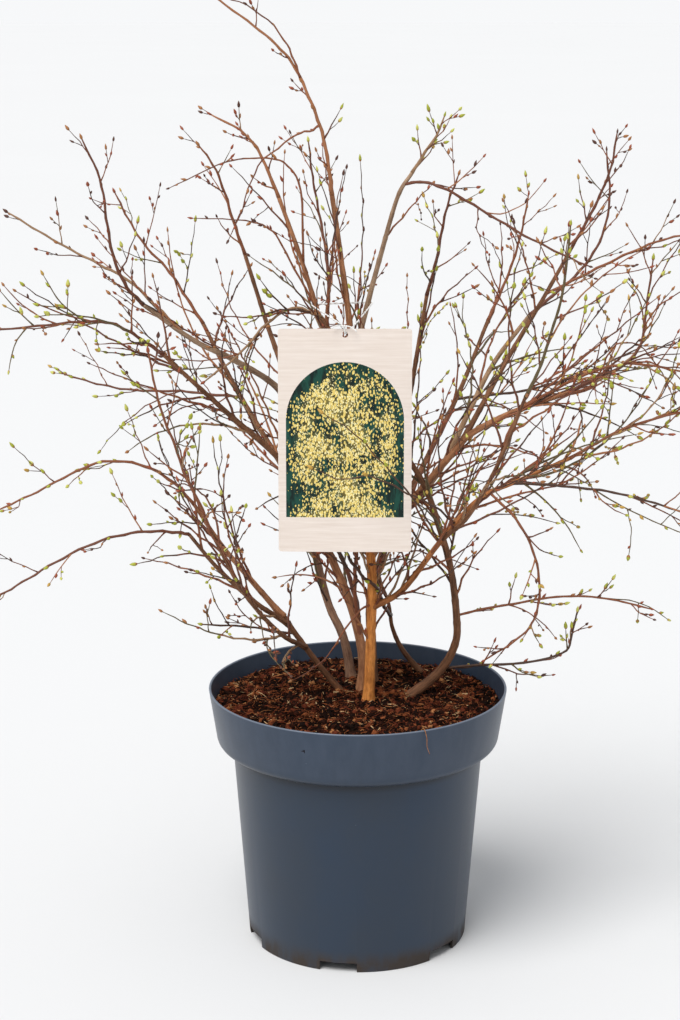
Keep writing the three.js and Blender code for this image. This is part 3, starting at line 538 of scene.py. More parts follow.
MASSES = [
    Mass("twigs_top", ("bough_top", 1), [(-32, 2, 810), (-44, -4, 850), (-66, -5, 894), (-98, -10, 924),
         (-150, -16, 962)], 1.9, 34, whips=0, budding=SHUT, tint=Tint.COPPER, airy=True,
         laid=(Laid(0.31, RED_SPRAY, ((-48, 2, 826), (-57, 0, 825), (-74, -8, 814), (-95, -16, 797),
         (-105, -24, 776), (-115, -30, 747), (-125, -34, 726))), Laid(0.52, RED_SPRAY, ((-63, -7, 896),
         (-69, -9, 909), (-85, -14, 930), (-109, -20, 946), (-134, -24, 955))))),
    Mass("twigs_top_left", ("bough_upper_left", 1), [(-92, 10, 796), (-108, 6, 822), (-142, 0, 842)], 1.7,
         48, whips=0, budding=SHUT, airy=True),
    Mass("twigs_top_rear", ("bough_rear_top", 1), [(84, 114, 700), (90, 108, 740), (102, 100, 776)], 1.8,
         72, whips=0, budding=OPENING, airy=True),
    Mass("twigs_upper_right", ("bough_upper_right", 1), [(62, 8, 802), (74, 3, 820), (82, 0, 840)], 1.6,
         44, whips=0, budding=OPENING, airy=True),
    Mass("twigs_right_arch", ("bough_upper_right", 0.86), [(74, -2, 776), (118, -8, 752), (180, -20, 718),
         (222, -30, 700)], 1.5, 70, whips=1, budding=SHUT, airy=True),
    Mass("twigs_left_arch", ("stem_right_low", 1), [(-72, -10, 656), (-107, -22, 622), (-150, -34, 588)],
         1.4, 60, whips=5),
    Mass("twigs_left_top", ("bough_left_top", 1), [(-225, -65, 691), (-236, -70, 730), (-240, -70, 776),
         (-258, -76, 824)], 1.8, 66, whips=0, budding=SHUT, airy=True),
    Mass("twigs_left_out", ("bough_left_top", 0.84), [(-222, -34, 686), (-278, -30, 716),
         (-336, -34, 752)], 1.5, 66, whips=0, budding=SHUT, airy=True),
    Mass("twigs_left_long", ("bough_left_long", 1), [(-220, -80, 645), (-246, -92, 656),
         (-293, -106, 654), (-350, -116, 650)], 1.6, 68, whips=7),
    Mass("twigs_left_low", ("bough_left_low", 1), [(-196, -44, 500), (-250, -52, 512), (-300, -60, 490),
         (-352, -64, 466)], 1.6, 74, whips=0, budding=OPENING, airy=True),
    Mass("twigs_left_front", ("bough_left_front", 1), [(-200, -92, 452), (-253, -112, 446),
         (-310, -120, 416), (-352, -124, 392)], 1.5, 74, whips=0, budding=OPENING, airy=True),
    Mass("twigs_rear_left", ("bough_rear_left", 1), [(-196, 206, 656), (-234, 214, 700),
         (-258, 206, 748)], 1.7, 84, shoots=7, whips=0, airy=True),
    Mass("twigs_rear_left_low", ("bough_rear_left", 0.62), [(-190, 170, 540), (-256, 186, 540),
         (-318, 190, 556)], 1.5, 78, whips=1, airy=True),
    Mass("twigs_back_left", ("bough_back_left", 1), [(-130, 110, 736), (-142, 100, 776), (-160, 90, 806)],
         1.7, 66, whips=0, budding=SHUT, airy=True),
    Mass("twigs_rear", ("bough_rear", 1), [(-36, 232, 700), (-46, 240, 750), (-52, 232, 800)], 1.7, 82,
         shoots=7, whips=0, budding=SHUT, airy=True),
    Mass("twigs_rear_low", ("bough_rear", 0.6), [(-14, 216, 590), (-4, 270, 604), (4, 322, 640)], 1.5, 78,
         whips=2),
    Mass("twigs_right", ("bough_right", 1), [(244, 0, 589), (275, 5, 608), (283, 10, 642),
         (290, 15, 700)], 1.9, 66, whips=7),
    Mass("twigs_right_edge", ("bough_right", 0.8), [(214, -36, 592), (268, -48, 608), (346, -54, 592)],
         1.5, 66, whips=13, budding=OPENING),
    Mass("twigs_right_high", ("bough_right_high", 1), [(232, 24, 752), (244, 14, 784), (250, 8, 824)],
         1.6, 56, whips=0, budding=SHUT, airy=True),
    Mass("twigs_right_out", ("bough_right_high", 0.72), [(236, 26, 690), (286, 16, 716), (332, 6, 728)],
         1.5, 68, whips=1, budding=SHUT, airy=True),
    Mass("twigs_right_back", ("bough_right_back", 1), [(206, 95, 659), (238, 100, 692), (256, 102, 738),
         (252, 102, 800)], 1.8, 74, whips=0, budding=SHUT, airy=True),
    Mass("twigs_rear_right", ("bough_rear_right", 1), [(162, 226, 650), (176, 228, 696), (184, 220, 744)],
         1.7, 84, shoots=7, whips=0, airy=True),
    Mass("twigs_low_rear", ("bough_rear_right", 0.62), [(180, 196, 536), (244, 206, 552),
         (304, 206, 580)], 1.5, 78, whips=4),
    Mass("twigs_front_right", ("bough_front_right", 1), [(232, -55, 531), (262, -48, 546),
         (318, -44, 560), (352, -40, 562)], 1.6, 66, whips=10, budding=OPENING),
    Mass("twigs_low_side", ("bough_front_right", 0.78), [(206, -92, 496), (270, -100, 486),
         (338, -100, 462)], 1.4, 66, whips=6, budding=OPENING),
    Mass("twigs_hanging", ("bough_front_right", 0.66), [(158, -78, 452), (175, -74, 410), (176, -68, 366),
         (160, -64, 338), (126, -60, 312)], 1.3, 46, whips=3, budding=OPENING),
    Mass("twigs_low_right", ("stem_right_low", 0.11), [(128, 4, 286), (200, -4, 296), (216, -6, 316),
         (222, -8, 346)], 1.4, 46, whips=2),
    Mass("twigs_level_right", ("stem_right_low", 0.29), [(160, 4, 352), (230, -4, 362), (296, -10, 350)],
         1.3, 48, whips=2, budding=OPENING),
    Mass("twigs_left_rim", ("stem_left_low", 0.72), [(-92, 14, 320), (-120, 10, 326), (-158, 2, 330)],
         1.2, 40, shoots=5, whips=2, budding=OPENING),
    Mass("twigs_front_left", ("bough_front_left", 1), [(-158, -192, 530), (-176, -220, 590),
         (-186, -236, 650)], 1.5, 82, shoots=7, whips=1),
    Mass("twigs_front_high", ("bough_front_high", 1), [(166, -204, 650), (178, -220, 706),
         (182, -226, 760)], 1.5, 82, shoots=7, whips=1),
]


@dataclass(frozen=True)
class KeptFree:
    """The room before the label and over the pot's rim that finer twigs leave free."""

    middle: float = -13.4
    half_width: float = 70.0
    heights: Range = (418.0, 650.0)
    top: float = 638.0
    front: float = -58.0
    lean: float = 0.0875
    behind: float = 6.0
    rim: Range = (130.0, 162.0)
    rim_top: float = 271.0
    lowest: float = 262.0

    def by(self, points: np.ndarray) -> bool:
        """Tells whether a finer twig leaves the room free.

        Args:
            points: the twig's line, one row a point.

        Returns:
            Whether no point lies in it.
        """
        x, y, z = points.T
        face = self.front - (self.top - z) * self.lean + self.behind
        level = (z > self.heights[0]) & (z < self.heights[1])
        before_label = (np.abs(x - self.middle) < self.half_width) & level & (y < face)
        away = np.hypot(x, y)
        at_rim = (z < self.rim_top) & (away > self.rim[0]) & (away < self.rim[1])
        return not (before_label | at_rim | (z < self.lowest)).any()


@dataclass(frozen=True)
class Refining:
    """How a twig's few straight runs are carried to a fine line."""

    node_gap: float = 13.5
    side_gap: float = 0.75
    kink: float = 0.048
    kink_spread: Range = (0.4, 1.6)
    half_kink: float = 0.3
    leader_kink: float = 0.7
    fit: float = 20.0
    merging: float = 14.0
    collar: float = 0.35
    collar_run: float = 3.0
    bud_swell: float = 1.16
    tip: float = 0.75
    stoutness: float = 1.22
    thinness: float = 0.8


@dataclass(frozen=True)
class Filling:
    """How densely finer twigs fill the masses and stand along the boughs."""

    whip_share: float = 2.5
    side_gap: float = 75.0
    airy_gap: float = 150.0
    side_share: float = 0.42
    shortest_parent: float = 52.0
    last_parent: int = 2
    bough_gap: float = 13.5
    gap_growth: float = 0.24
    dense_below: float = 470.0
    airy_above: float = 560.0
    bough_length: float = 220.0
    bough_reach: float = 84.0
    bough_radius: float = 2.0
    stems_from: float = 310.0
    laid_runs: int = 12


@dataclass
class Growth:
    """The frame's branching rule, written again here and carried to finer twigs.

    Its own rule gives the frame's twigs one for one, and the finer orders fill each mass within the
    same reach.
    """

    soil_top: float = 252.35
    limb_run: float = 42.0
    flare: float = 0.4
    flare_height: float = 16.0
    fewest_runs: int = 4
    leader_run: float = 36.0
    leader_zigzag: float = 1.6
    leader_tip: float = 0.9
    tip_radius: float = 0.36
    root_share: float = 0.52
    spur_length: float = 0.46
    clearance: float = 0.7
    tries: int = 3
    shortening: float = 0.25
    narrowing: float = 0.45
    own: Branching = Branching()
    whip: Branching = Branching(angle=25, angle_spread=34, lift=0.08, zigzag=0.045, turn_spread=2.2,
                                shortest=0.4, length_spread=0.7, taper=0.25, run=26, arch=0.95,
                                lift_spread=1.5, by_faces=False)
    side: Branching = Branching(angle=38, angle_spread=34, lift=0.05, zigzag=0.05, turn_spread=1.6,
                                shortest=0.35, length_spread=0.9, taper=0.3, run=20, arch=0.8,
                                lift_spread=1.0, by_faces=False)
    filling: Filling = Filling()
    refining: Refining = Refining()
    free: KeptFree = KeptFree()
    courses: dict[str, Course] = field(default_factory=dict)
    tubes: dict[str, tuple[np.ndarray, np.ndarray]] = field(default_factory=dict)
    owners: list[str] = field(default_factory=list)
    runs: list[tuple[np.ndarray, np.ndarray, float]] = field(default_factory=list)
    packed: tuple[np.ndarray, np.ndarray, np.ndarray, np.ndarray] | None = None

    def occupy(self, owner: str, points: np.ndarray, radii: np.ndarray) -> None:
        """Notes a twig's or limb's runs, so that later ones can keep clear of them.

        Args:
            owner: the piece that it belongs to.
            points: its line, one row a point.
            radii: the radius at each point.
        """
        for k in range(1, len(points)):
            self.owners.append(owner)
            self.runs.append((points[k - 1], points[k], max(radii[k - 1], radii[k])))
        self.packed = None

    def flared(self, points: np.ndarray) -> np.ndarray:
        """Returns how wide a stem is along its line for its flare, as shares."""
        return 1 + self.flare * np.exp(-(points[:, 2] - points[0][2]) / self.flare_height)

    def grow_limb(self, limb: Limb) -> None:
        """Works out a limb's line and girth as the frame has them.

        Args:
            limb: the limb.
        """
        if limb.foot:
            start = np.array([*limb.foot, self.soil_top])
        else:
            start = self.courses[limb.parent[0]].at(limb.parent[1])
        course = through(start, limb.through)
        runs = max(self.fewest_runs, rounded(course.length() / self.limb_run))
        points = course.along(runs)
        radii = tapered(*limb.radius, runs)
        if limb.foot:
            radii = radii * self.flared(points)
        self.courses[limb.name] = course
        self.tubes[limb.name] = (points, radii)
        self.occupy(limb.name, points, radii)

    def is_clear(self, owner: str, points: np.ndarray, radius: float) -> bool:
        """Tells whether a twig keeps clear of everything that belongs to other pieces.

        Args:
            owner: the piece that the twig belongs to.
            points: its line, one row a point.
            radius: its radius at its foot.

        Returns:
            Whether it does.
        """
        if self.packed is None:
            firsts, lasts, girths = (np.array([run[k] for run in self.runs]) for k in range(3))
            self.packed = (np.array(self.owners), firsts, lasts, girths)
        others = self.packed[0] != owner
        firsts, lasts, girths = (part[others] for part in self.packed[1:])
        for a, b in zip(points, points[1:]):
            if (self.run_distance(a, b, firsts, lasts) <= radius + girths + self.clearance).any():
                return False
        return True

    @staticmethod
    def run_distance(a: np.ndarray, b: np.ndarray, c: np.ndarray, d: np.ndarray) -> np.ndarray:
        """Works out how near one run comes to others.

        Args:
            a: the run's first end.
            b: its last end.
            c: the others' first ends, one row each.
            d: their last ends.

        Returns:
            The shortest distance to each.
        """
        u, v, w = b - a, d - c, a - c
        uu, uv, vv, uw, vw = float(u @ u), v @ u, (v * v).sum(1), w @ u, (v * w).sum(1)
        spread = uu * vv - uv * uv
        safe = np.where(spread > TINY, spread, 1.0)
        s = np.where(spread > TINY, np.clip((uv * vw - vv * uw) / safe, 0, 1), 0.0)
        t = np.clip((uv * s + vw) / vv, 0, 1)
        s = np.clip((uv * t - uw) / uu, 0, 1)
        return np.linalg.norm(w + s[:, None] * u - t[:, None] * v, axis=1)

    def is_inside(self, space: Space, points: np.ndarray) -> bool:
        """Tells whether a twig stays in its mass's own room.

        Args:
            space: the room.
            points: the twig's line, one row a point.

        Returns:
            Whether it does.
        """
        gaps = np.linalg.norm(points[:, None] - space.leader[None], axis=2)
        nearest = gaps.argmin(axis=1)
        share = nearest / (len(space.leader) - 1)
        room = space.reach * (1 - self.narrowing * np.abs(2 * share - 1)) + self.leader_run / 2
        return bool((gaps.min(axis=1) <= room).all())

    @staticmethod
    def station(line: tuple[np.ndarray, np.ndarray], all_axes: list[Axes],
                share: float) -> tuple[np.ndarray, Axes, float]:
        """Finds a place on a twig.

        Args:
            line: the twig's points and the radii at them.
            all_axes: its axes at each point.
            share: the share of its length.

        Returns:
            The place, the axes there and the radius there.
        """
        points, radii = line
        lengths = run_lengths(points)
        left = share * float(lengths.sum())
        k = 0
        while k < len(lengths) - 1 and left > lengths[k]:
            left -= lengths[k]
            k += 1
        part = min(left / lengths[k], 1.0)
        axes = all_axes[k if part < 0.5 else k + 1]
        at = points[k] + (points[k + 1] - points[k]) * part
        return at, axes, float(radii[k] + (radii[k + 1] - radii[k]) * part)

    @staticmethod
    def shoot_points(start: np.ndarray, direction: np.ndarray, length: float, runs: int, rule: Branching,
                     bend: np.ndarray) -> np.ndarray:
        """Works out one shoot: it turns up as it grows and zig-zags from run to run.

        Args:
            start: its foot.
            direction: its first heading.
            length: its length.
            runs: the number of its runs.
            rule: how it grows.
            bend: what its heading gains over its length, besides the lift.

        Returns:
            Its points.
        """
        points = [start]
        heading = direction
        swing = square(direction)
        for k in range(runs):
            heading = heading + swing * ((2 if k % 2 else -1) * rule.zigzag)
            heading = unit(heading + (UP * rule.lift + bend) / runs)
            points.append(points[k] + heading * (length / runs))
        return np.array(points)

    @staticmethod
    def shoot_direction(axes: Axes, n: int, dice: Dice, rule: Branching) -> np.ndarray:
        """Works out where a shoot heads as it leaves its parent.

        Args:
            axes: the parent's axes there.
            n: the shoot's number on its parent.
            dice: the shoot's own chances.
            rule: how it branches.

        Returns:
            The direction, at length one.
        """
        heading, side, other = axes
        if rule.by_faces:
            step = (2 * n + 1) * math.pi / 3
        else:
            step = rule.spiral[0] * n + rule.spiral[1]
        turn = step + dice.around(rule.turn_spread)
        angle = math.radians(rule.angle + dice.around(rule.angle_spread))
        return heading * math.cos(angle) + sideways(other, side, turn) * math.sin(angle)

    @staticmethod
    def shoot_bend(direction: np.ndarray, dice: Dice, rule: Branching) -> np.ndarray:
        """Works out how a shoot arches over its length.

        Args:
            direction: its first heading.
            dice: the shoot's own chances.
            rule: how it branches.

        Returns:
            What its heading gains, besides the lift.
        """
        if not rule.arch:
            return np.zeros(3)
        aside = square(direction)
        turn = dice.between(0, FULL_TURN)
        bend = sideways(aside, np.cross(direction, aside), turn) * rule.arch * dice.between(*rule.arch_range)
        return bend + UP * dice.around(rule.lift_spread)

    def grow_shoots(self, owner: str, space: Space, parent: Twig, seed: int, count: int, length: float,
                    rule: Branching, strict: bool = True) -> list[Twig]:
        """Grows the shoots of one twig.

        Args:
            owner: the mass that the twig belongs to.
            space: the mass's own room.
            parent: the twig that carries the shoots.
            seed: the seed they grow from.
            count: how many there are places for.
            length: the full length of a shoot.
            rule: how they branch.
            strict: whether they keep clear of other masses, as the frame's own twigs do.

        Returns:
            The shoots that found room.
        """
        grown = []
        level = parent.level + 1
        line = (parent.points, parent.radii) if strict or parent.fine is None else parent.fine
        all_axes = frames_along(line[0])
        for n in range(count):
            own = child_seed(seed, n)
            dice = Dice(own)
            share = (n + rule.first + dice.around(rule.place_spread)) / (count + rule.bare_tip)
            at, axes, girth = self.station(line, all_axes, share)
            direction = self.shoot_direction(axes, n, dice, rule)
            full = length * (rule.shortest + rule.length_spread * dice.roll()) * (1 - rule.taper * share)
            radius = max(girth * self.root_share, self.tip_radius)
            runs = max(2 if level == 1 else 1, rounded(full / rule.run))
            bend = self.shoot_bend(direction, dice, rule)
            for attempt in range(self.tries):
                reach = full * (1 - self.shortening * attempt)
                points = self.shoot_points(at, direction, reach, runs, rule, bend)
                clear = self.is_clear(owner, points, radius) if strict else self.free.by(points)
                if clear and self.is_inside(space, points):
                    spray = own if level == 1 else parent.spray
                    grown.append(Twig(points, tapered(radius, self.tip_radius, runs), level, own, spray,
                                      parent, share, thin=parent.thin))
                    if strict and level == 1:
                        grown += self.grow_shoots(owner, space, grown[-1], own, 1,
                                                  full * self.spur_length, rule)
                    break
        return grown

    def grow_mass(self, mass: Mass, seed: int) -> tuple[Twig, list[Twig], Space]:
        """Grows the frame's own twigs of one mass.

        Args:
            mass: the mass.
            seed: its seed.

        Returns:
            The leader, its shoots and their spurs, and the mass's own room.
        """
        start = self.courses[mass.parent[0]].at(mass.parent[1])
        course = through(start, mass.through)
        runs = max(self.fewest_runs, rounded(course.length() / self.leader_run))
        points = course.along(runs)
        for k in range(1, runs):
            points[k] += square(heading_at(points, k)) * ((1 if k % 2 else -1) * self.leader_zigzag)
        leader = Twig(points, tapered(mass.radius, self.leader_tip, runs), 0, seed, seed)
        space = Space(points, mass.reach)
        shoots = self.grow_shoots(mass.name, space, leader, seed, mass.shoots, mass.reach, self.own)
        for twig in [leader, *shoots]:
            self.occupy(mass.name, twig.points, twig.radii)
        return leader, shoots, space

    def refine(self, twig: Twig, wide_root: float | None = None) -> None:
        """Carries a twig's few straight runs to a smooth line that kinks at every bud.

        Every second point of the line is a bud's place, and its foot sits on its parent's own finer line.

        Args:
            twig: the twig.
            wide_root: the radius it starts from where it continues a bough, or None.
        """
        how = self.refining
        points = twig.points
        steps = steps_along(points)
        length = float(steps[-1])
        if twig.parent is not None and twig.parent.fine is not None:
            line = twig.parent.fine[0]
            along = steps_along(line)
            root = np.array([np.interp(twig.share * along[-1], along, line[:, c]) for c in range(3)])
            points = points + (root - points[0]) * np.exp(-steps / how.fit)[:, None]
        gap = how.node_gap if twig.level < 2 else how.node_gap * how.side_gap
        runs = 2 * max(2, rounded(length / gap))
        fine = Course(points).along(runs)
        dice = Dice(child_seed(twig.seed, Draw.LINE))
        turn = dice.between(0, FULL_TURN)
        _, side, other = swift_axes(fine)
        number = np.arange(runs + 1)
        swing = np.array([dice.between(*how.kink_spread) for _ in number]) * gap * how.kink
        swing[1::2] *= how.half_kink
        swing[[0, -1]] = 0
        swing *= np.where((number // 2) % 2, 1, -1) * (1 if twig.level else how.leader_kink)
        fine = fine + sideways(side, other, turn) * swing[:, None]
        share = number / runs
        radii = np.interp(share, np.linspace(0, 1, len(twig.radii)), twig.radii)
        if wide_root:
            radii = radii + (wide_root - radii[0]) * np.exp(-share * length / how.merging)
        elif twig.level:
            stout = how.stoutness * (how.thinness if twig.thin else 1.0)
            radii = radii * (1 + how.collar * np.exp(-share * length / how.collar_run)) * stout
        radii[0:-1:2] *= how.bud_swell
        radii[-1] *= how.tip
        twig.fine = (fine, radii)

    def carry_finer(self, owner: str, space: Space, line: Twig, shoots: list[Twig], whips: int,
                    length: float) -> list[Twig]:
        """Carries a leader or bough to finer twigs, each order standing on the one before.

        Args:
            owner: the mass or bough.
            space: the room that the twigs may fill.
            line: the leader, or the bough's own line.
            shoots: the frame's own shoots and spurs, already refined.
            whips: how many long shoots stand between them.
            length: the full length of a long shoot.

        Returns:
            The finer twigs, refined.
        """
        how = self.filling
        finer = self.grow_shoots(owner, space, line, child_seed(line.seed, Draw.LONG_SHOOTS), whips, length,
                                 self.whip, strict=False)
        for twig in finer:
            self.refine(twig)
        order = shoots + finer
        while order:
            following = []
            for twig in order:
                reach = float(run_lengths(twig.points).sum())
                gap = how.airy_gap if twig.thin else how.side_gap
                shortest = how.airy_gap / 2 if twig.thin else how.shortest_parent
                if twig.level <= how.last_parent and reach >= shortest:
                    following += self.grow_shoots(owner, space, twig, child_seed(twig.seed, Draw.SIDE_TWIGS),
                                                  max(1, rounded(reach / gap)), reach * how.side_share,
                                                  self.side, strict=False)
            for twig in following:
                self.refine(twig)
            finer += following
            order = following
        return finer

    def fill_mass(self, mass: Mass, leader: Twig, shoots: list[Twig], space: Space) -> list[Twig]:
        """Refines a mass's own twigs and carries them to finer ones.

        Args:
            mass: the mass.
            leader: its leader.
            shoots: the frame's own shoots and spurs.
            space: the mass's own room.

        Returns:
            All of the mass's twigs.
        """
        self.refine(leader, self.tubes[mass.parent[0]][1][-1] if mass.parent[1] == 1 else None)
        for twig in [leader, *shoots]:
            twig.thin = mass.airy
        for twig in shoots:
            self.refine(twig)
        finer = self.carry_finer(mass.name, space, leader, shoots, mass.whips,
                                 mass.reach * self.filling.whip_share)
        return [leader, *shoots, *finer, *self.lay_shoots(mass.laid, Course(leader.points), leader.seed)]

    def dress_limb(self, limb: Limb, seed: int, onward: list[np.ndarray]) -> list[Twig]:
        """Grows the shoots that stand along a bough or along the upper part of a stem.

        Args:
            limb: the limb.
            seed: its seed.
            onward: the lines of the leaders that go on from its tip.

        Returns:
            The shoots and their side twigs.
        """
        how = self.filling
        points, radii = self.tubes[limb.name]
        if limb.foot:
            keep = points[:, 2] > how.stems_from
            if keep.sum() < 3:
                return []
            points, radii = points[keep], radii[keep]
        height = float(points[:, 2].mean())
        line = Twig(points, np.minimum(radii, how.bough_radius), 0, seed, seed, thin=height > how.airy_above)
        space = Space(np.concatenate([points, *onward]), how.bough_reach)
        gap = how.bough_gap + max(0.0, height - how.dense_below) * how.gap_growth
        whips = rounded(float(run_lengths(points).sum()) / gap * limb.twiggy)
        grown = self.carry_finer(limb.name, space, line, [], whips, how.bough_length)
        return grown + self.lay_shoots(limb.laid, self.courses[limb.name], seed)

    def lay_shoots(self, laid: tuple[Laid, ...], course: Course, seed: int) -> list[Twig]:
        """Lays the given shoots along a limb or leader.

        Args:
            laid: the shoots.
            course: the limb's or leader's line.
            seed: its seed.

        Returns:
            The shoots, refined.
        """
        runs = self.filling.laid_runs
        twigs = []
        for n, shoot in enumerate(laid):
            line = through(course.at(shoot.share), shoot.through).along(runs)
            radii = np.linspace(*shoot.radius, runs + 1)
            twigs.append(Twig(line, radii, 1, child_seed(seed, n), shoot.spray))
            self.refine(twigs[-1])
        return twigs


# Meshes


class Joined:
    """Many small pieces joined in one mesh from arrays, each face with its material's number."""

    def __init__(self) -> None:
        """Starts with no pieces."""
        self.places: list[np.ndarray] = []
        self.corners: list[np.ndarray] = []
        self.sizes: list[np.ndarray] = []
        self.paints: list[np.ndarray] = []
        self.count = 0

    def add(self, places: np.ndarray, faces: list[np.ndarray], paint: int | np.ndarray) -> None:
        """Adds one piece.

        Args:
            places: its points in millimetres, one row each.
            faces: arrays of faces, each with one row a face, in the piece's own numbering.
            paint: the number of its material, or one number for each face.
        """
        for f in faces:
            self.corners.append(f.ravel() + self.count)
            self.sizes.append(np.full(len(f), f.shape[1]))
        self.paints.append(np.full(face_count(faces), paint) if np.isscalar(paint) else paint)
        self.places.append(places)
        self.count += len(places)

    def triangles(self) -> int:
        """Returns the number of triangles so far."""
        return int(sum((s - 2).sum() for s in self.sizes))

    def mesh(self, name: str) -> bpy.types.Mesh:
        """Makes the joined mesh, smooth and in metres.

        Args:
            name: its name.

        Returns:
            The mesh.
        """
        places = np.concatenate(self.places) * MM
        corners = np.concatenate(self.corners).astype(np.int32)
        sizes = np.concatenate(self.sizes).astype(np.int32)
        starts = np.concatenate([[0], np.cumsum(sizes)[:-1]]).astype(np.int32)
        made = bpy.data.meshes.new(name)
        made.vertices.add(len(places))
        made.vertices.foreach_set("co", places.astype(np.float32).ravel())
        made.loops.add(len(corners))
        made.loops.foreach_set("vertex_index", corners)
        made.polygons.add(len(sizes))
        made.polygons.foreach_set("loop_start", starts)
        made.polygons.foreach_set("material_index", np.concatenate(self.paints).astype(np.int32))
        made.update(calc_edges=True)
        made.validate()
        made.shade_smooth()
        return made


def face_count(faces: list[np.ndarray]) -> int:
    """Returns how many faces some arrays of faces hold."""
    return sum(len(f) for f in faces)


def ring_faces(rings: int, sides: int) -> list[np.ndarray]:
    """Works out the faces of a closed tube, all pointing outwards.

    Args:
        rings: the number of its rings.
        sides: the number of corners on each.

    Returns:
        Its wall, its foot and its tip.
    """
    k, i = np.meshgrid(np.arange(rings - 1), np.arange(sides), indexing="ij")
    a = k * sides + i
    b = k * sides + (i + 1) % sides
    wall = np.stack([a, b, b + sides, a + sides], axis=-1).reshape(-1, 4)
    foot = np.arange(sides)[::-1][None]
    tip = (rings - 1) * sides + np.arange(sides)[None]
    return [wall, foot, tip]


def ring_spread(side: np.ndarray, other: np.ndarray, sides: int) -> np.ndarray:
    """Works out where the corners of a line's rings lie from its points.

    Args:
        side: one direction square to the line at each point.
        other: the direction square to both.
        sides: the number of corners on a ring.

    Returns:
        The directions, at length one, by point, corner and axis.
    """
    theta = FULL_TURN * np.arange(sides) / sides
    return side[:, None] * np.cos(theta)[None, :, None] + other[:, None] * np.sin(theta)[None, :, None]


def tube(points: np.ndarray, radii: np.ndarray, sides: int) -> tuple[np.ndarray, list[np.ndarray]]:
    """Makes a closed tube.

    Args:
        points: the line, one row a point.
        radii: the radius at each point.
        sides: the number of sides.

    Returns:
        Its points and its faces.
    """
    _, side, other = swift_axes(points)
    places = points[:, None] + ring_spread(side, other, sides) * radii[:, None, None]
    return places.reshape(-1, 3), ring_faces(len(points), sides)


def linked(name: str, data: bpy.types.ID) -> bpy.types.Object:
    """Puts a mesh, light or camera in the scene.

    Args:
        name: the new object's name.
        data: what it holds.

    Returns:
        The new object.
    """
    made = bpy.data.objects.new(name, data)
    bpy.context.scene.collection.objects.link(made)
    return made


def shown(mesh: bpy.types.Mesh, finishes: list[bpy.types.Material], nodes: list[str]) -> bpy.types.Object:
    """Puts a finished mesh in the scene and reports it.

    Args:
        mesh: the mesh, in its place and in metres.
        finishes: its materials, in the order of its faces' numbers.
        nodes: the frame's nodes that it stands for.

    Returns:
        The new object.
    """
    piece = linked(mesh.name, mesh)
    for finish in finishes:
        mesh.materials.append(finish)
    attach(piece, "root")
    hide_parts(*nodes)
    mesh.calc_loop_triangles()
    LOG.info("%s: %d triangles", mesh.name, len(mesh.loop_triangles))
    return piece


def to_mesh(work: bmesh.types.BMesh, name: str) -> bpy.types.Mesh:
    """Turns a bmesh into a smooth mesh with outward faces.

    Args:
        work: the bmesh, which is freed.
        name: the mesh's name.

    Returns:
        The mesh.
    """
    bmesh.ops.recalc_face_normals(work, faces=work.faces)
    made = bpy.data.meshes.new(name)
    work.to_mesh(made)
    work.free()
    made.shade_smooth()
    return made


def turned(work: bmesh.types.BMesh, outline: list[Point], steps: int) -> None:
    """Turns an outline once round the upright.

    Args:
        work: the bmesh it is made in.
        outline: its corners in metres, from the middle and back to it.
        steps: into how many steps the turn is cut.
    """
    places = [work.verts.new(corner) for corner in outline]
    lines = [work.edges.new(pair) for pair in zip(places, places[1:])]
    bmesh.ops.spin(work, geom=places + lines, cent=(0, 0, 0), axis=(0, 0, 1), angle=FULL_TURN,
                   steps=steps, use_merge=True, use_duplicate=False)
    bmesh.ops.remove_doubles(work, verts=work.verts, dist=1e-6)


def carved(mesh: bpy.types.Mesh, cutter: bpy.types.Mesh, crease: float) -> bpy.types.Mesh:
    """Takes the cutter's room out of a mesh.

    Args:
        mesh: the mesh, which is used up.
        cutter: the cutter, which is used up too.
        crease: the angle in degrees past which an edge stays sharp.

    Returns:
        The carved mesh, smooth.
    """
    name = mesh.name
    body, tool = (linked(m.name, m) for m in (mesh, cutter))
    cut = body.modifiers.new("cut", "BOOLEAN")
    cut.operation = "DIFFERENCE"
    cut.solver = "EXACT"
    cut.object = tool
    made = bpy.data.meshes.new_from_object(body.evaluated_get(bpy.context.evaluated_depsgraph_get()))
    for thing in (body, tool):
        bpy.data.objects.remove(thing)
    for used in (mesh, cutter):
        bpy.data.meshes.remove(used)
    made.name = name
    made.shade_smooth()
    made.set_sharp_from_angle(angle=math.radians(crease))
    return made


# Finishes


class Effect(Enum):
    """The effects that several finishes share, each a node group built once."""

    MOTTLE = "mottle"
    FLECKS = "flecks"


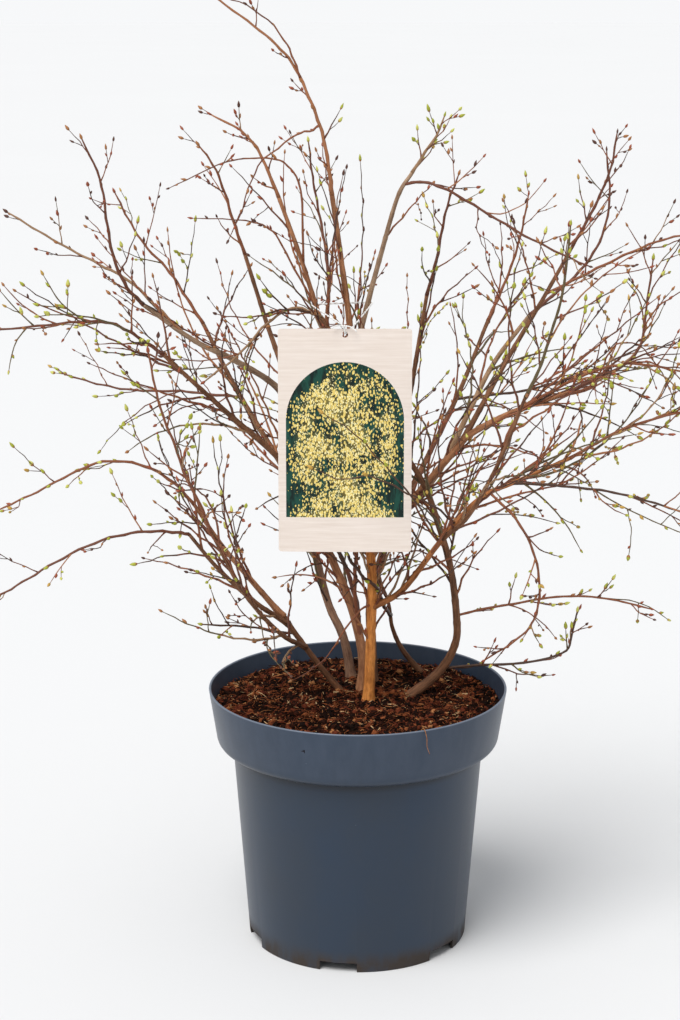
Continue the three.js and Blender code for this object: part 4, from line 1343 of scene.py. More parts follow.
class Nodes:
    """Adds nodes to a node tree and links them."""

    def __init__(self, tree: bpy.types.NodeTree) -> None:
        """Starts with a tree."""
        self.tree = tree

    def feed(self, socket: bpy.types.NodeSocket, value: Feed) -> None:
        """Links an output to a socket, or sets the socket to a number or colour.

        Args:
            socket: the socket.
            value: another node's output, a number, or a colour or vector.
        """
        if isinstance(value, bpy.types.NodeSocket):
            self.tree.links.new(value, socket)
        elif isinstance(value, tuple) and socket.type == "RGBA":
            socket.default_value = (*value, 1.0)
        else:
            socket.default_value = value

    def node(self, kind: str, settings: dict[str, str | bool] | None = None,
             **inputs: Feed) -> bpy.types.Node:
        """Adds a node.

        Args:
            kind: its type, without the prefix that all shader nodes share.
            settings: its own settings.
            inputs: what its sockets get, by name with underscores for spaces, or by number as _0 and so on.

        Returns:
            The node.
        """
        made = self.tree.nodes.new("ShaderNode" + kind)
        for key, value in (settings or {}).items():
            setattr(made, key, value)
        for key, value in inputs.items():
            name = int(key[1:]) if key[1:].isdigit() else key.replace("_", " ")
            self.feed(made.inputs[name], value)
        return made

    def mix(self, factor: Feed, dark: Feed, light: Feed) -> bpy.types.NodeSocket:
        """Returns a blend of two colours by a factor."""
        return self.node("Mix", {"data_type": "RGBA"}, _0=factor, _6=dark, _7=light).outputs[2]

    def math(self, operation: str, *values: Feed, clamp: bool = False) -> bpy.types.NodeSocket:
        """Returns the result of one sum, kept between 0 and 1 where clamp is set."""
        inputs = {f"_{n}": value for n, value in enumerate(values)}
        return self.node("Math", {"operation": operation, "use_clamp": clamp}, **inputs).outputs[0]

    def times(self, one: Feed, other: Feed) -> bpy.types.NodeSocket:
        """Returns the product of two values."""
        return self.math("MULTIPLY", one, other)

    def ramp(self, value: Feed, start: Feed, end: Feed, low: float = 0.0,
             high: float = 1.0) -> bpy.types.NodeSocket:
        """Returns a smooth step of a value, from low where it is start to high where it is end."""
        step = self.node("MapRange", {"interpolation_type": "SMOOTHSTEP"}, Value=value, From_Min=start,
                         From_Max=end, To_Min=low, To_Max=high)
        return step.outputs["Result"]


@dataclass(frozen=True)
class Pattern:
    """One cloudy or flecked pattern of a finish.

    Args:
        scale: how fine it is.
        measure: how sharp the clouds are, or how large the flecks are in their cells.
        stretch: how much finer it gets along each axis.
        rotation: how it is turned, in radians.
    """

    scale: float
    measure: float
    stretch: Point = (1, 1, 1)
    rotation: Point = (0, 0, 0)


@dataclass(frozen=True)
class Group:
    """A node group's sockets: the kind of each, by name, besides the Vector and Scale that it is given.

    Args:
        inputs: its other inputs.
        outputs: its outputs.
    """

    inputs: dict[str, str]
    outputs: dict[str, str]

    def start(self, name: str) -> tuple[Nodes, bpy.types.NodeOutputs, bpy.types.Node]:
        """Starts the group with its sockets.

        Args:
            name: its name.

        Returns:
            Its nodes, what it is given, and the node that takes its results.
        """
        tree = bpy.data.node_groups.new(name, "ShaderNodeTree")
        given = {"Vector": "Vector", "Scale": "Float", **self.inputs}
        for way, sockets in (("INPUT", given), ("OUTPUT", self.outputs)):
            for socket, kind in sockets.items():
                tree.interface.new_socket(socket, in_out=way, socket_type="NodeSocket" + kind)
        return Nodes(tree), tree.nodes.new("NodeGroupInput").outputs, tree.nodes.new("NodeGroupOutput")


def mottle() -> bpy.types.NodeTree:
    """Builds the group that blends two colours by a cloudy pattern of a chosen sharpness.

    Returns:
        The group.
    """
    inputs = {"Sharpness": "Float", "Dark": "Color", "Light": "Color"}
    nodes, given, out = Group(inputs, {"Color": "Color", "Mask": "Float"}).start(Effect.MOTTLE.value)
    cloud = nodes.node("TexNoise", Vector=given["Vector"], Scale=given["Scale"], Detail=5, Roughness=0.6)
    centred = nodes.math("SUBTRACT", cloud.outputs["Fac"], 0.5)
    mask = nodes.math("MULTIPLY_ADD", centred, given["Sharpness"], 0.5, clamp=True)
    nodes.feed(out.inputs["Mask"], mask)
    nodes.feed(out.inputs["Color"], nodes.mix(mask, given["Dark"], given["Light"]))
    return nodes.tree


def flecks() -> bpy.types.NodeTree:
    """Builds the group that gives a mask of soft round flecks of a chosen size.

    Returns:
        The group.
    """
    nodes, given, out = Group({"Size": "Float"}, {"Mask": "Float"}).start(Effect.FLECKS.value)
    cells = nodes.node("TexVoronoi", Vector=given["Vector"], Scale=given["Scale"])
    nodes.feed(out.inputs["Mask"], nodes.ramp(cells.outputs["Distance"], 0.0, given["Size"], 1.0, 0.0))
    return nodes.tree


class Surface(Nodes):
    """A material in the making: its nodes, its links and its Principled shader."""

    def __init__(self, name: str, attribute: str | None = None, **constants: float) -> None:
        """Starts a material.

        Args:
            name: the material's name.
            attribute: the piece's own attribute that patterns lie on, or None for the object.
            constants: plain numbers for the shader's own sockets, with spaces as underscores.
        """
        self.material = bpy.data.materials.new(name)
        self.material.use_nodes = True
        super().__init__(self.material.node_tree)
        self.attribute = attribute
        self.shader = self.tree.nodes["Principled BSDF"]
        for socket, value in constants.items():
            self.shader.inputs[socket.replace("_", " ")].default_value = value

    def effect(self, effect: Effect, **inputs: Feed) -> bpy.types.NodeOutputs:
        """Places a shared effect in the material with its own values, and builds it the first time.

        Args:
            effect: the effect.
            inputs: what its sockets get, by name.

        Returns:
            Its outputs.
        """
        known = bpy.data.node_groups.get(effect.value)
        made = self.tree.nodes.new("ShaderNodeGroup")
        made.node_tree = known or (mottle() if effect is Effect.MOTTLE else flecks())
        for key, value in inputs.items():
            self.feed(made.inputs[key], value)
        return made.outputs

    def place(self, pattern: Pattern, source: bpy.types.NodeSocket | None = None) -> bpy.types.NodeSocket:
        """Finds the coordinates of a pattern, drawn out by axis and turned.

        Args:
            pattern: the pattern.
            source: the coordinates it lies on, or None for the piece's own.

        Returns:
            The coordinates.
        """
        if source is None and self.attribute:
            source = self.node("Attribute", {"attribute_name": self.attribute}).outputs["Vector"]
        elif source is None:
            source = self.node("TexCoord").outputs["Object"]
        mapped = self.node("Mapping", Vector=source, Scale=pattern.stretch, Rotation=pattern.rotation)
        return mapped.outputs["Vector"]

    def clouds(self, pattern: Pattern, dark: Colour, light: Colour,
               source: bpy.types.NodeSocket | None = None) -> bpy.types.NodeOutputs:
        """Returns the mottled effect's Color and Mask for a pattern, on a source or the piece's own."""
        return self.effect(Effect.MOTTLE, Vector=self.place(pattern, source), Scale=pattern.scale,
                           Sharpness=pattern.measure, Dark=dark, Light=light)

    def flecks(self, pattern: Pattern, source: bpy.types.NodeSocket | None = None) -> bpy.types.NodeSocket:
        """Returns the flecked effect's mask for a pattern, on a source or the piece's own."""
        return self.effect(Effect.FLECKS, Vector=self.place(pattern, source), Scale=pattern.scale,
                           Size=pattern.measure)["Mask"]

    def bump(self, height: Feed, depth: float, strength: float = 1.0) -> None:
        """Gives the shader relief of a depth in metres, from heights between 0 and 1."""
        made = self.node("Bump", Height=height, Distance=depth, Strength=strength)
        self.feed(self.shader.inputs["Normal"], made.outputs["Normal"])

    def paint(self, colour: Feed) -> None:
        """Sets the shader's colour."""
        self.feed(self.shader.inputs["Base Color"], colour)


@dataclass(frozen=True)
class BarkFinish:
    """Bark on a stem or bough: streaks along the limb, pale pores and fine relief."""

    name: str
    dark: Colour
    light: Colour
    pore: Colour
    roughness: float = 0.72
    shine: float = 0.3
    streaks: Pattern = Pattern(560.0, 3.6, (1, 1, 0.12))
    patches: Pattern = Pattern(85.0, 4.0, (1, 1, 0.5))
    pores: Pattern = Pattern(340.0, 0.24, (1, 1, 1.6))
    patch_share: float = 0.5
    pore_share: float = 0.6
    relief: float = 0.00035
    strength: float = 0.8

    def build(self) -> bpy.types.Material:
        """Builds the material.

        Returns:
            The material.
        """
        skin = Surface(self.name, "limb", Roughness=self.roughness, Specular_IOR_Level=self.shine)
        streaks = skin.clouds(self.streaks, self.dark, self.light)
        patches = skin.clouds(self.patches, self.dark, self.light)
        pores = skin.flecks(self.pores)
        both = skin.mix(self.patch_share, streaks["Color"], patches["Color"])
        shown_pores = skin.times(pores, patches["Mask"])
        skin.paint(skin.mix(skin.times(shown_pores, self.pore_share), both, self.pore))
        skin.bump(skin.math("ADD", streaks["Mask"], pores), self.relief, self.strength)
        return skin.material


@dataclass(frozen=True)
class GrainFinish:
    """An even material with a fine grain: young wood, a bud, a crumb, the card's back or the string."""

    name: str
    dark: Colour
    light: Colour
    roughness: float = 0.92
    grain: float = 420.0
    sharpness: float = 3.5
    relief: float = 0.0006
    strength: float = 0.9
    shine: float = 0.08

    def build(self) -> bpy.types.Material:
        """Builds the material.

        Returns:
            The material.
        """
        skin = Surface(self.name, Roughness=self.roughness, Specular_IOR_Level=self.shine)
        grain = skin.clouds(Pattern(self.grain, self.sharpness), self.dark, self.light)
        skin.paint(grain["Color"])
        skin.bump(grain["Mask"], self.relief, self.strength)
        return skin.material


def shoot_skin(name: str, tint: Colour, roughness: float = 0.55, grain: float = 900.0,
               depth: float = 0.18) -> GrainFinish:
    """Describes the thin skin of young wood or of a bud.

    Args:
        name: the material's name.
        tint: its plain tint.
        roughness: how rough it is.
        grain: how fine its grain is.
        depth: how far the grain differs from the tint.

    Returns:
        The finish.
    """
    dark = tuple(c * (1 - depth) for c in tint)
    light = tuple(min(c * (1 + depth), 1.0) for c in tint)
    return GrainFinish(name, dark, light, roughness, grain, sharpness=2.5, relief=0.00012, strength=0.6,
                       shine=0.35)


def plain_skin(name: str, tint: Colour, roughness: float = 0.6, grain: float = 500.0,
               relief: float = 0.00005, evenness: float = 0.9) -> GrainFinish:
    """Describes a pale, even material: the card's back and edges, the string and the floor.

    Args:
        name: the material's name.
        tint: its lighter colour.
        roughness: how rough it is.
        grain: how fine its grain is.
        relief: the depth of its relief in metres.
        evenness: how dark the grain is, as a share of the tint.

    Returns:
        The finish.
    """
    dark = tuple(c * evenness for c in tint)
    return GrainFinish(name, dark, tint, roughness, grain, sharpness=2.0, relief=relief, strength=0.5,
                       shine=0.5)


@dataclass(frozen=True)
class PotFinish:
    """Moulded blue-grey plastic, with wear and a painted highlight at the lip, painted shade under the
    collar, and dried soil round the foot.
    """

    body: Colour = (0.011, 0.033, 0.072)
    faded: Colour = (0.027, 0.035, 0.048)
    # the paler, bluer tone that the collar takes
    collar_tone: Colour = (0.040, 0.058, 0.092)
    # the pale colour of the spots, and of the lip's top, where wear and a painted highlight lighten it
    rim: Colour = (0.17, 0.20, 0.26)
    soil: Colour = (0.045, 0.030, 0.019)
    # the dark colour of the scratches, and of the painted shade under the collar
    scuff_and_shade: Colour = (0.008, 0.010, 0.014)
    shine: float = 0.38
    lip_height: float = 266.0
    cloud: Pattern = Pattern(7.0, 4.5, (1, 1, 0.6))
    fine: Pattern = Pattern(900.0, 1.6)
    patches: Pattern = Pattern(60.0, 4.0, (1, 1, 0.35))
    scratches: Pattern = Pattern(24.0, 0.035, (0.16, 1.0, 1.9), (0.2, 0.35, 0.1))
    spots: Pattern = Pattern(48.0, 0.035)
    # greyer and a little lighter towards the left, bluer towards the right
    left_grey: Range = (0.08, -0.08)
    left_grey_share: float = 0.5
    fine_share: float = 0.3
    dirt: Range = (0.026, 0.003)
    even_dirt: float = 0.35
    dirt_share: float = 0.85
    scratch_share: float = 0.3
    collar: Range = (0.203, 0.222)
    # how far the collar turns paler and bluer, evenly and in patches
    collar_tone_share: Range = (0.5, 0.4)
    # painted shade: the heights of a dark band just under the collar's foot, where its shadow falls
    crease: tuple[float, float, float, float] = (0.195, 0.2045, 0.2125, 0.2075)
    collar_shadow_share: float = 0.8
    spot_share: float = 0.45
    # the heights of the lip's top ring, lightened for wear and as a painted highlight
    lip_wear_and_highlight: Range = (1.5, 0.3)
    lip_wear_and_highlight_share: float = 0.85
    roughness: float = 0.31
    dirt_roughness: float = 0.35
    fine_roughness: float = 0.1
    relief: float = 0.0001
    strength: float = 0.5

    def build(self) -> bpy.types.Material:
        """Builds the material.

        Returns:
            The material.
        """
        skin = Surface("pot_plastic", Specular_IOR_Level=self.shine)
        split = skin.node("SeparateXYZ", Vector=skin.node("TexCoord").outputs["Object"])
        height = split.outputs["Z"]
        tones = (self.body, self.faded)
        cloud, fine = skin.clouds(self.cloud, *tones), skin.clouds(self.fine, *tones)
        patchy = skin.clouds(self.patches, *tones)["Mask"]
        # greyer and a little lighter towards the left, bluer towards the right
        left_grey = skin.mix(skin.ramp(split.outputs["X"], *self.left_grey), *tones)
        plain = skin.mix(self.fine_share, skin.mix(self.left_grey_share, cloud["Color"], left_grey), fine["Color"])
        low = skin.ramp(height, *self.dirt)
        smear = skin.math("MULTIPLY", low, skin.math("ADD", patchy, self.even_dirt), clamp=True)
        dirty = skin.mix(skin.times(smear, self.dirt_share), plain, self.soil)
        scratched = skin.mix(skin.times(skin.flecks(self.scratches), self.scratch_share), dirty, self.scuff_and_shade)
        on_collar = skin.times(skin.ramp(height, *self.collar), patchy)
        # the collar turns paler and bluer, evenly and in patches
        even, uneven = self.collar_tone_share
        collar_toning = skin.math("MULTIPLY_ADD", on_collar, uneven, skin.ramp(height, *self.collar, 0, even))
        # painted shade: a dark band just under the collar's foot
        collar_shadow = skin.times(skin.ramp(height, *self.crease[:2]), skin.ramp(height, *self.crease[2:]))
        collar_toned = skin.mix(collar_toning, scratched, self.collar_tone)
        shadowed = skin.mix(skin.times(collar_shadow, self.collar_shadow_share), collar_toned, self.scuff_and_shade)
        spotted = skin.mix(skin.times(skin.flecks(self.spots), self.spot_share), shadowed, self.rim)
        # wear and a painted highlight: the lip's top ring turns pale
        lip_wear_and_highlight = skin.ramp(height, *((self.lip_height - drop) * MM for drop in self.lip_wear_and_highlight))
        skin.paint(skin.mix(skin.times(lip_wear_and_highlight, self.lip_wear_and_highlight_share), spotted, self.rim))
        rough = skin.math("MULTIPLY_ADD", smear, self.dirt_roughness, self.roughness)
        fine_rough = skin.times(fine["Mask"], self.fine_roughness)
        skin.feed(skin.shader.inputs["Roughness"], skin.math("ADD", fine_rough, rough, clamp=True))
        skin.bump(fine["Mask"], self.relief, self.strength)
        return skin.material


@dataclass(frozen=True)
class PrintFinish:
    """The label's printed face: pale bands and an arched dark panel strewn with yellow blossom."""

    paper: Colour = (0.86, 0.775, 0.715)
    grain: Colour = (0.70, 0.60, 0.525)
    ground: Colour = (0.003, 0.014, 0.012)
    leaf: Colour = (0.008, 0.062, 0.044)
    deep: Colour = (0.300, 0.220, 0.045)
    blossom: Colour = (0.78, 0.60, 0.17)
    highlight: Colour = (0.92, 0.84, 0.46)
    arch_centre: float = 128.0
    arch_radius: float = 57.0
    panel_foot: float = 34.0
    roughness: float = 0.4
    shine: float = 0.22
    coat: Range = (0.06, 0.2)
    bands: Pattern = Pattern(320.0, 1.6, (0.06, 1.0, 1.0))
    shade: Pattern = Pattern(170.0, 7.0, (1.0, 0.3, 1.0), (0, 0, 0.6))
    clusters: Pattern = Pattern(26.0, 7.0)
    petals: Pattern = Pattern(480.0, 0.72, (1.0, 0.6, 1.0))
    glints: Pattern = Pattern(760.0, 0.62, (1.0, 0.6, 1.0))
    even_bloom: float = 0.35
    sparse: Range = (1.0, 0.6)
    sparsest: float = 0.25
    petal_limit: float = 0.17
    glint_limit: float = 0.34
    inner: Range = (0.92, 0.5)
    deep_share: float = 0.7

    def build(self) -> bpy.types.Material:
        """Builds the material, which reads the card's own map in metres.

        Returns:
            The material.
        """
        coat, coat_roughness = self.coat
        skin = Surface("label_print", Roughness=self.roughness, Specular_IOR_Level=self.shine,
                       Coat_Weight=coat, Coat_Roughness=coat_roughness)
        place = skin.node("UVMap", {"uv_map": "print"}).outputs["UV"]
        split = skin.node("SeparateXYZ", Vector=place)
        u, v = split.outputs["X"], split.outputs["Y"]
        above = skin.math("MAXIMUM", skin.math("SUBTRACT", v, self.arch_centre * MM), 0.0)
        off = skin.math("SQRT", skin.math("ADD", skin.times(u, u), skin.times(above, above)))
        in_arch = skin.math("LESS_THAN", off, self.arch_radius * MM)
        panel = skin.times(in_arch, skin.math("GREATER_THAN", v, self.panel_foot * MM))
        greens = (self.ground, self.leaf)
        paper = skin.clouds(self.bands, self.grain, self.paper, place)
        shade = skin.clouds(self.shade, *greens, place)
        thick = skin.clouds(self.clusters, *greens, place)["Mask"]
        heart = skin.ramp(off, *(self.arch_radius * share * MM for share in self.sparse), self.sparsest)
        dense = skin.times(skin.math("ADD", thick, self.even_bloom, clamp=True), heart)
        petals, glints = (skin.times(skin.flecks(p, place), dense) for p in (self.petals, self.glints))
        bloom = skin.math("GREATER_THAN", petals, self.petal_limit)
        bright = skin.math("GREATER_THAN", glints, self.glint_limit)
        inner = skin.times(skin.ramp(off, *(self.arch_radius * share * MM for share in self.inner)), thick)
        behind = skin.mix(skin.times(inner, self.deep_share), shade["Color"], self.deep)
        picture = skin.mix(bright, skin.mix(bloom, behind, self.blossom), self.highlight)
        skin.paint(skin.mix(panel, paper["Color"], picture))
        return skin.material


# Pot, mix, label and tie


@dataclass
class Pot:
    """The nursery pot: a thin tapered wall under a deep collar, on a notched skirt."""

    height: float = 266.0
    lip_radius: float = 152.6
    collar_foot: float = 207.0
    collar_radius: float = 143.5
    body_top: float = 128.5
    foot_radius: float = 113.0
    wall: float = 2.4
    floor: float = 10.0
    floor_thickness: float = 3.0
    pad_radius: float = 46.0
    pad_slope: float = 5.0
    notches: int = 6
    notch_width: float = 38.0
    notch_depth: float = 30.0
    first_notch: float = -100.3
    sides: int = 192
    crease: float = 28.0

    def rings(self) -> list[Point]:
        """Lists the outline's corners.

        Returns:
            The radius, the height and how far it is rounded, for each.
        """
        wall, floor = self.wall, self.floor
        inside = floor + self.floor_thickness
        return [
            (0, 0, 0),
            (self.pad_radius, 0, 1),
            (self.pad_radius + self.pad_slope, floor, 1),
            (self.foot_radius - wall, floor, 0.8),
            (self.foot_radius - wall, 0, 0.6),
            (self.foot_radius, 0, 0.8),
            (self.body_top, self.collar_foot, 1.6),
            (self.collar_radius, self.collar_foot, 8.5),
            (self.lip_radius, self.height, 1.1),
            (self.lip_radius - wall, self.height, 1.1),
            (self.collar_radius - wall, self.collar_foot + wall, 7),
            (self.body_top - wall, self.collar_foot + wall, 2),
            (self.foot_radius - wall, inside, 4),
            (0, inside, 0),
        ]

    def build(self) -> bpy.types.Object:
        """Turns the outline, rounds its corners, cuts the notches and dresses the pot.

        Returns:
            The pot.
        """
        work = bmesh.new()
        rings = self.rings()
        turned(work, [(r * MM, 0, z * MM) for r, z, _ in rings], self.sides)
        for radius, height, corner in rings:
            if corner:
                self.round_corner(work, radius * MM, height * MM, corner * MM)
        body = carved(to_mesh(work, "nursery_pot"), self.notch_cutter(), self.crease)
        return shown(body, [PotFinish(lip_height=self.height).build()], ["pot"])

    @staticmethod
    def round_corner(work: bmesh.types.BMesh, radius: float, height: float, corner: float) -> None:
        """Rounds the ring of edges at one radius and height.

        Args:
            work: the pot.
            radius: the ring's radius in metres.
            height: its height.
            corner: how far it is rounded.
        """
        near = 1e-5
        ring = [e for e in work.edges if all(
            abs(v.co.z - height) < near and abs(math.hypot(*v.co.xy) - radius) < near for v in e.verts)]
        bmesh.ops.bevel(work, geom=ring, offset=corner, offset_type="OFFSET", segments=5, profile=0.5,
                        affect="EDGES", material=-1)

    def notch_cutter(self) -> bpy.types.Mesh:
        """Makes the blocks that cut the drain notches out of the skirt.

        Returns:
            The cutter.
        """
        work = bmesh.new()
        size = Matrix.Diagonal((self.notch_depth * MM, self.notch_width * MM, 2 * self.floor * MM, 1))
        place = Matrix.Translation((self.foot_radius * MM, 0, 0))
        for n in range(self.notches):
            block = bmesh.ops.create_cube(work, size=1)["verts"]
            turn = math.radians(self.first_notch + n * 360 / self.notches)
            bmesh.ops.transform(work, matrix=Matrix.Rotation(turn, 4, "Z") @ place @ size, verts=block)
        return to_mesh(work, "notch cutter")


def pointing(turn: float, dip: float = 0.0) -> np.ndarray:
    """Returns the direction at a turn round the upright and at a slope."""
    return np.array([math.cos(turn) * math.cos(dip), math.sin(turn) * math.cos(dip), math.sin(dip)])


@dataclass(frozen=True)
class Bumps:
    """One order of bumps on the mix."""

    pace: float
    layer: float
    fade: float
    step: float
    height: float
    octaves: int = 3

    def at(self, x: float, y: float) -> float:
        """Returns their height at a place."""
        spot = Vector((x * self.pace, y * self.pace, self.layer))
        return noise.fractal(spot, self.fade, self.step, self.octaves) * self.height


@dataclass(frozen=True)
class Strewn:
    """One kind of thing strewn on the mix.

    Args:
        count: how many there are.
        shares: how many of them get each finish, from the darkest to the palest.
        sides: the number of sides of each.
        edge: the radius past which none may reach.
    """

    count: int
    shares: tuple[float, ...]
    sides: int = 4
    edge: float = 145.0

    def paint(self, rng: np.random.Generator, at: np.ndarray) -> int:
        """Deals out a finish, paler in some patches of the mix and darker in others.

        Args:
            rng: where chance comes from.
            at: the place.

        Returns:
            The finish's number.
        """
        pace, layer, contrast = 0.05, 11.0, 3.0
        patch = noise.noise(Vector((at[0] * pace, at[1] * pace, layer)))
        count = len(self.shares)
        weights = np.array(self.shares) * np.exp(contrast * patch * np.linspace(-1, 1, count))
        return int(rng.choice(count, p=weights / weights.sum()))

    def reaches_out(self, line: np.ndarray) -> bool:
        """Tells whether a line passes the edge."""
        return np.linalg.norm(line[:, :2], axis=1).max() > self.edge


@dataclass(frozen=True)
class Crumb(Strewn):
    """A rough lump."""

    count: int = 5200
    shares: tuple[float, ...] = (0.38, 0.27, 0.24, 0.1, 0.01)
    sides: int = 5
    size: Range = (0.9, 3.6)
    ring_gap: float = 0.5
    sunk_rings: float = 0.8
    girths: tuple[Range, ...] = ((0.4, 0.8), (0.8, 1.1), (0.2, 0.5))
    sway: float = 0.2
    rough: float = 0.14

    def strew(self, joined: Joined, rng: np.random.Generator, at: np.ndarray) -> None:
        """Adds one lump, sunk a little into the mix.

        Args:
            joined: the mesh it is added to.
            rng: where chance comes from.
            at: its place on the mix.
        """
        size = self.size[0] + self.size[1] * rng.random() ** 2
        rings = range(len(self.girths))
        points = np.array([at + UP * (size * (k - self.sunk_rings) * self.ring_gap) for k in rings])
        points[:, :2] += rng.normal(0, size * self.sway, (len(points), 2))
        radii = np.array([size * rng.uniform(*girth) for girth in self.girths])
        places, faces = tube(points, radii, self.sides)
        places += rng.normal(0, size * self.rough, places.shape)
        joined.add(places, faces, self.paint(rng, at))


@dataclass(frozen=True)
class Sliver(Strewn):
    """A flat sliver of bark or wood, lying about level."""

    count: int = 2900
    shares: tuple[float, ...] = (0.2, 0.26, 0.26, 0.18, 0.07, 0.03)
    length: Range = (3.0, 12.0)
    shortness: float = 1.6
    dip: Range = (0.08, 0.3)
    lift: Range = (0.4, 2.0)
    bend: float = 0.07
    thickness: Range = (0.35, 1.0)
    ends: Range = (0.5, 0.4)

    def strew(self, joined: Joined, rng: np.random.Generator, at: np.ndarray) -> None:
        """Adds one sliver.

        Args:
            joined: the mesh it is added to.
            rng: where chance comes from.
            at: its place on the mix.
        """
        length = self.length[0] + self.length[1] * rng.random() ** self.shortness
        heading = pointing(rng.random() * FULL_TURN, rng.normal(*self.dip))
        at = at + UP * rng.uniform(*self.lift)
        bend = rng.normal(0, self.bend, 3) * length
        points = np.array([at - heading * length / 2, at + bend, at + heading * length / 2])
        thick = rng.uniform(*self.thickness)
        radii = np.array([thick * self.ends[0], thick, thick * self.ends[1]])
        joined.add(*tube(points, radii, self.sides), self.paint(rng, at))


@dataclass(frozen=True)
class Fibre(Strewn):
    """A thin curved fibre that lifts a little off the mix."""

    count: int = 800
    shares: tuple[float, ...] = (0, 0.28, 0.32, 0.26, 0.1, 0.04)
    sides: int = 3
    length: Range = (6.0, 20.0)
    curl: float = 0.5
    stray: float = 0.15
    lift: Range = (0.2, 1.4)
    rise: float = 0.35
    waver: float = 0.12
    girth: Range = (0.14, 0.28)
    runs: int = 4
    draw: Range = (0.2, 0.12)

    def strew(self, joined: Joined, rng: np.random.Generator, at: np.ndarray) -> None:
        """Adds one fibre.

        Args:
            joined: the mesh it is added to.
            rng: where chance comes from.
            at: its place on the mix.
        """
        length = rng.uniform(*self.length)
        turn = rng.random() * FULL_TURN
        curl = rng.normal(0, self.curl)
        points = [at + UP * rng.uniform(*self.lift)]
        for k in range(self.runs):
            rise = self.rise * math.cos(math.pi * k / self.runs) + rng.normal(0, self.waver)
            points.append(points[-1] + (pointing(turn) + UP * rise) * length / self.runs)
            turn += curl + rng.normal(0, self.stray)
        line = np.array(points)
        if self.reaches_out(line):
            shorter, back = self.draw
            line[:, :2] -= (line[:, :2] - line[:1, :2]) * shorter + line[:1, :2] * back
        radii = np.full(self.runs + 1, rng.uniform(*self.girth))
        joined.add(*tube(line, radii, self.sides), self.paint(rng, at))


@dataclass(frozen=True)
class Chip(Strewn):
    """A short bright chip of wood or straw."""

    count: int = 1000
    shares: tuple[float, ...] = (0, 0, 0.05, 0.3, 0.35, 0.3)
    half: Range = (0.8, 2.6)
    dip: Range = (0.15, 0.5)
    lift: Range = (0.9, 2.4)
    thickness: Range = (0.25, 0.6)
    tip: float = 0.6

    def strew(self, joined: Joined, rng: np.random.Generator, at: np.ndarray) -> None:
        """Adds one chip.

        Args:
            joined: the mesh it is added to.
            rng: where chance comes from.
            at: its place on the mix.
        """
        half = rng.uniform(*self.half)
        heading = pointing(rng.random() * FULL_TURN, rng.normal(*self.dip))
        at = at + UP * rng.uniform(*self.lift)
        thick = rng.uniform(*self.thickness)
        points = np.array([at - heading * half, at + heading * half])
        joined.add(*tube(points, np.array([thick, thick * self.tip]), self.sides), self.paint(rng, at))


@dataclass(frozen=True)
class Tuft(Strewn):
    """A low tuft of matted coir."""

    count: int = 190
    shares: tuple[float, ...] = (0, 0.25, 0.45, 0.3)
    sides: int = 3
    reach: Range = (4.0, 9.0)
    rise: Range = (1.5, 4.2)
    hairs: int = 18
    knots: int = 4
    curl: float = 0.7
    step: Range = (1.2, 2.4)
    waver: Range = (-0.5, 0.7)
    girth: Range = (0.22, 0.42)
    even: float = 0.8
    odd: int = 1

    def strew(self, joined: Joined, rng: np.random.Generator, at: np.ndarray) -> None:
        """Adds one tuft.

        Args:
            joined: the mesh it is added to.
            rng: where chance comes from.
            at: its place on the mix.
        """
        reach, rise = rng.uniform(*self.reach), rng.uniform(*self.rise)
        paint = self.paint(rng, at)
        for _ in range(self.hairs):
            spot = pointing(rng.random() * FULL_TURN) * reach * math.sqrt(rng.random())
            turn, curl, step = rng.random() * FULL_TURN, rng.normal(0, self.curl), rng.uniform(*self.step)
            points = []
            for _ in range(self.knots):
                share = min(1.0, float(spot @ spot) / reach**2)
                points.append(at + spot + UP * (rise * (1 - share) + rng.uniform(*self.waver)))
                spot = spot + pointing(turn) * step
                turn += curl
            line = np.array(points)
            if not self.reaches_out(line):
                places, faces = tube(line, np.full(self.knots, rng.uniform(*self.girth)), self.sides)
                joined.add(places, faces, paint if rng.random() < self.even else self.odd)


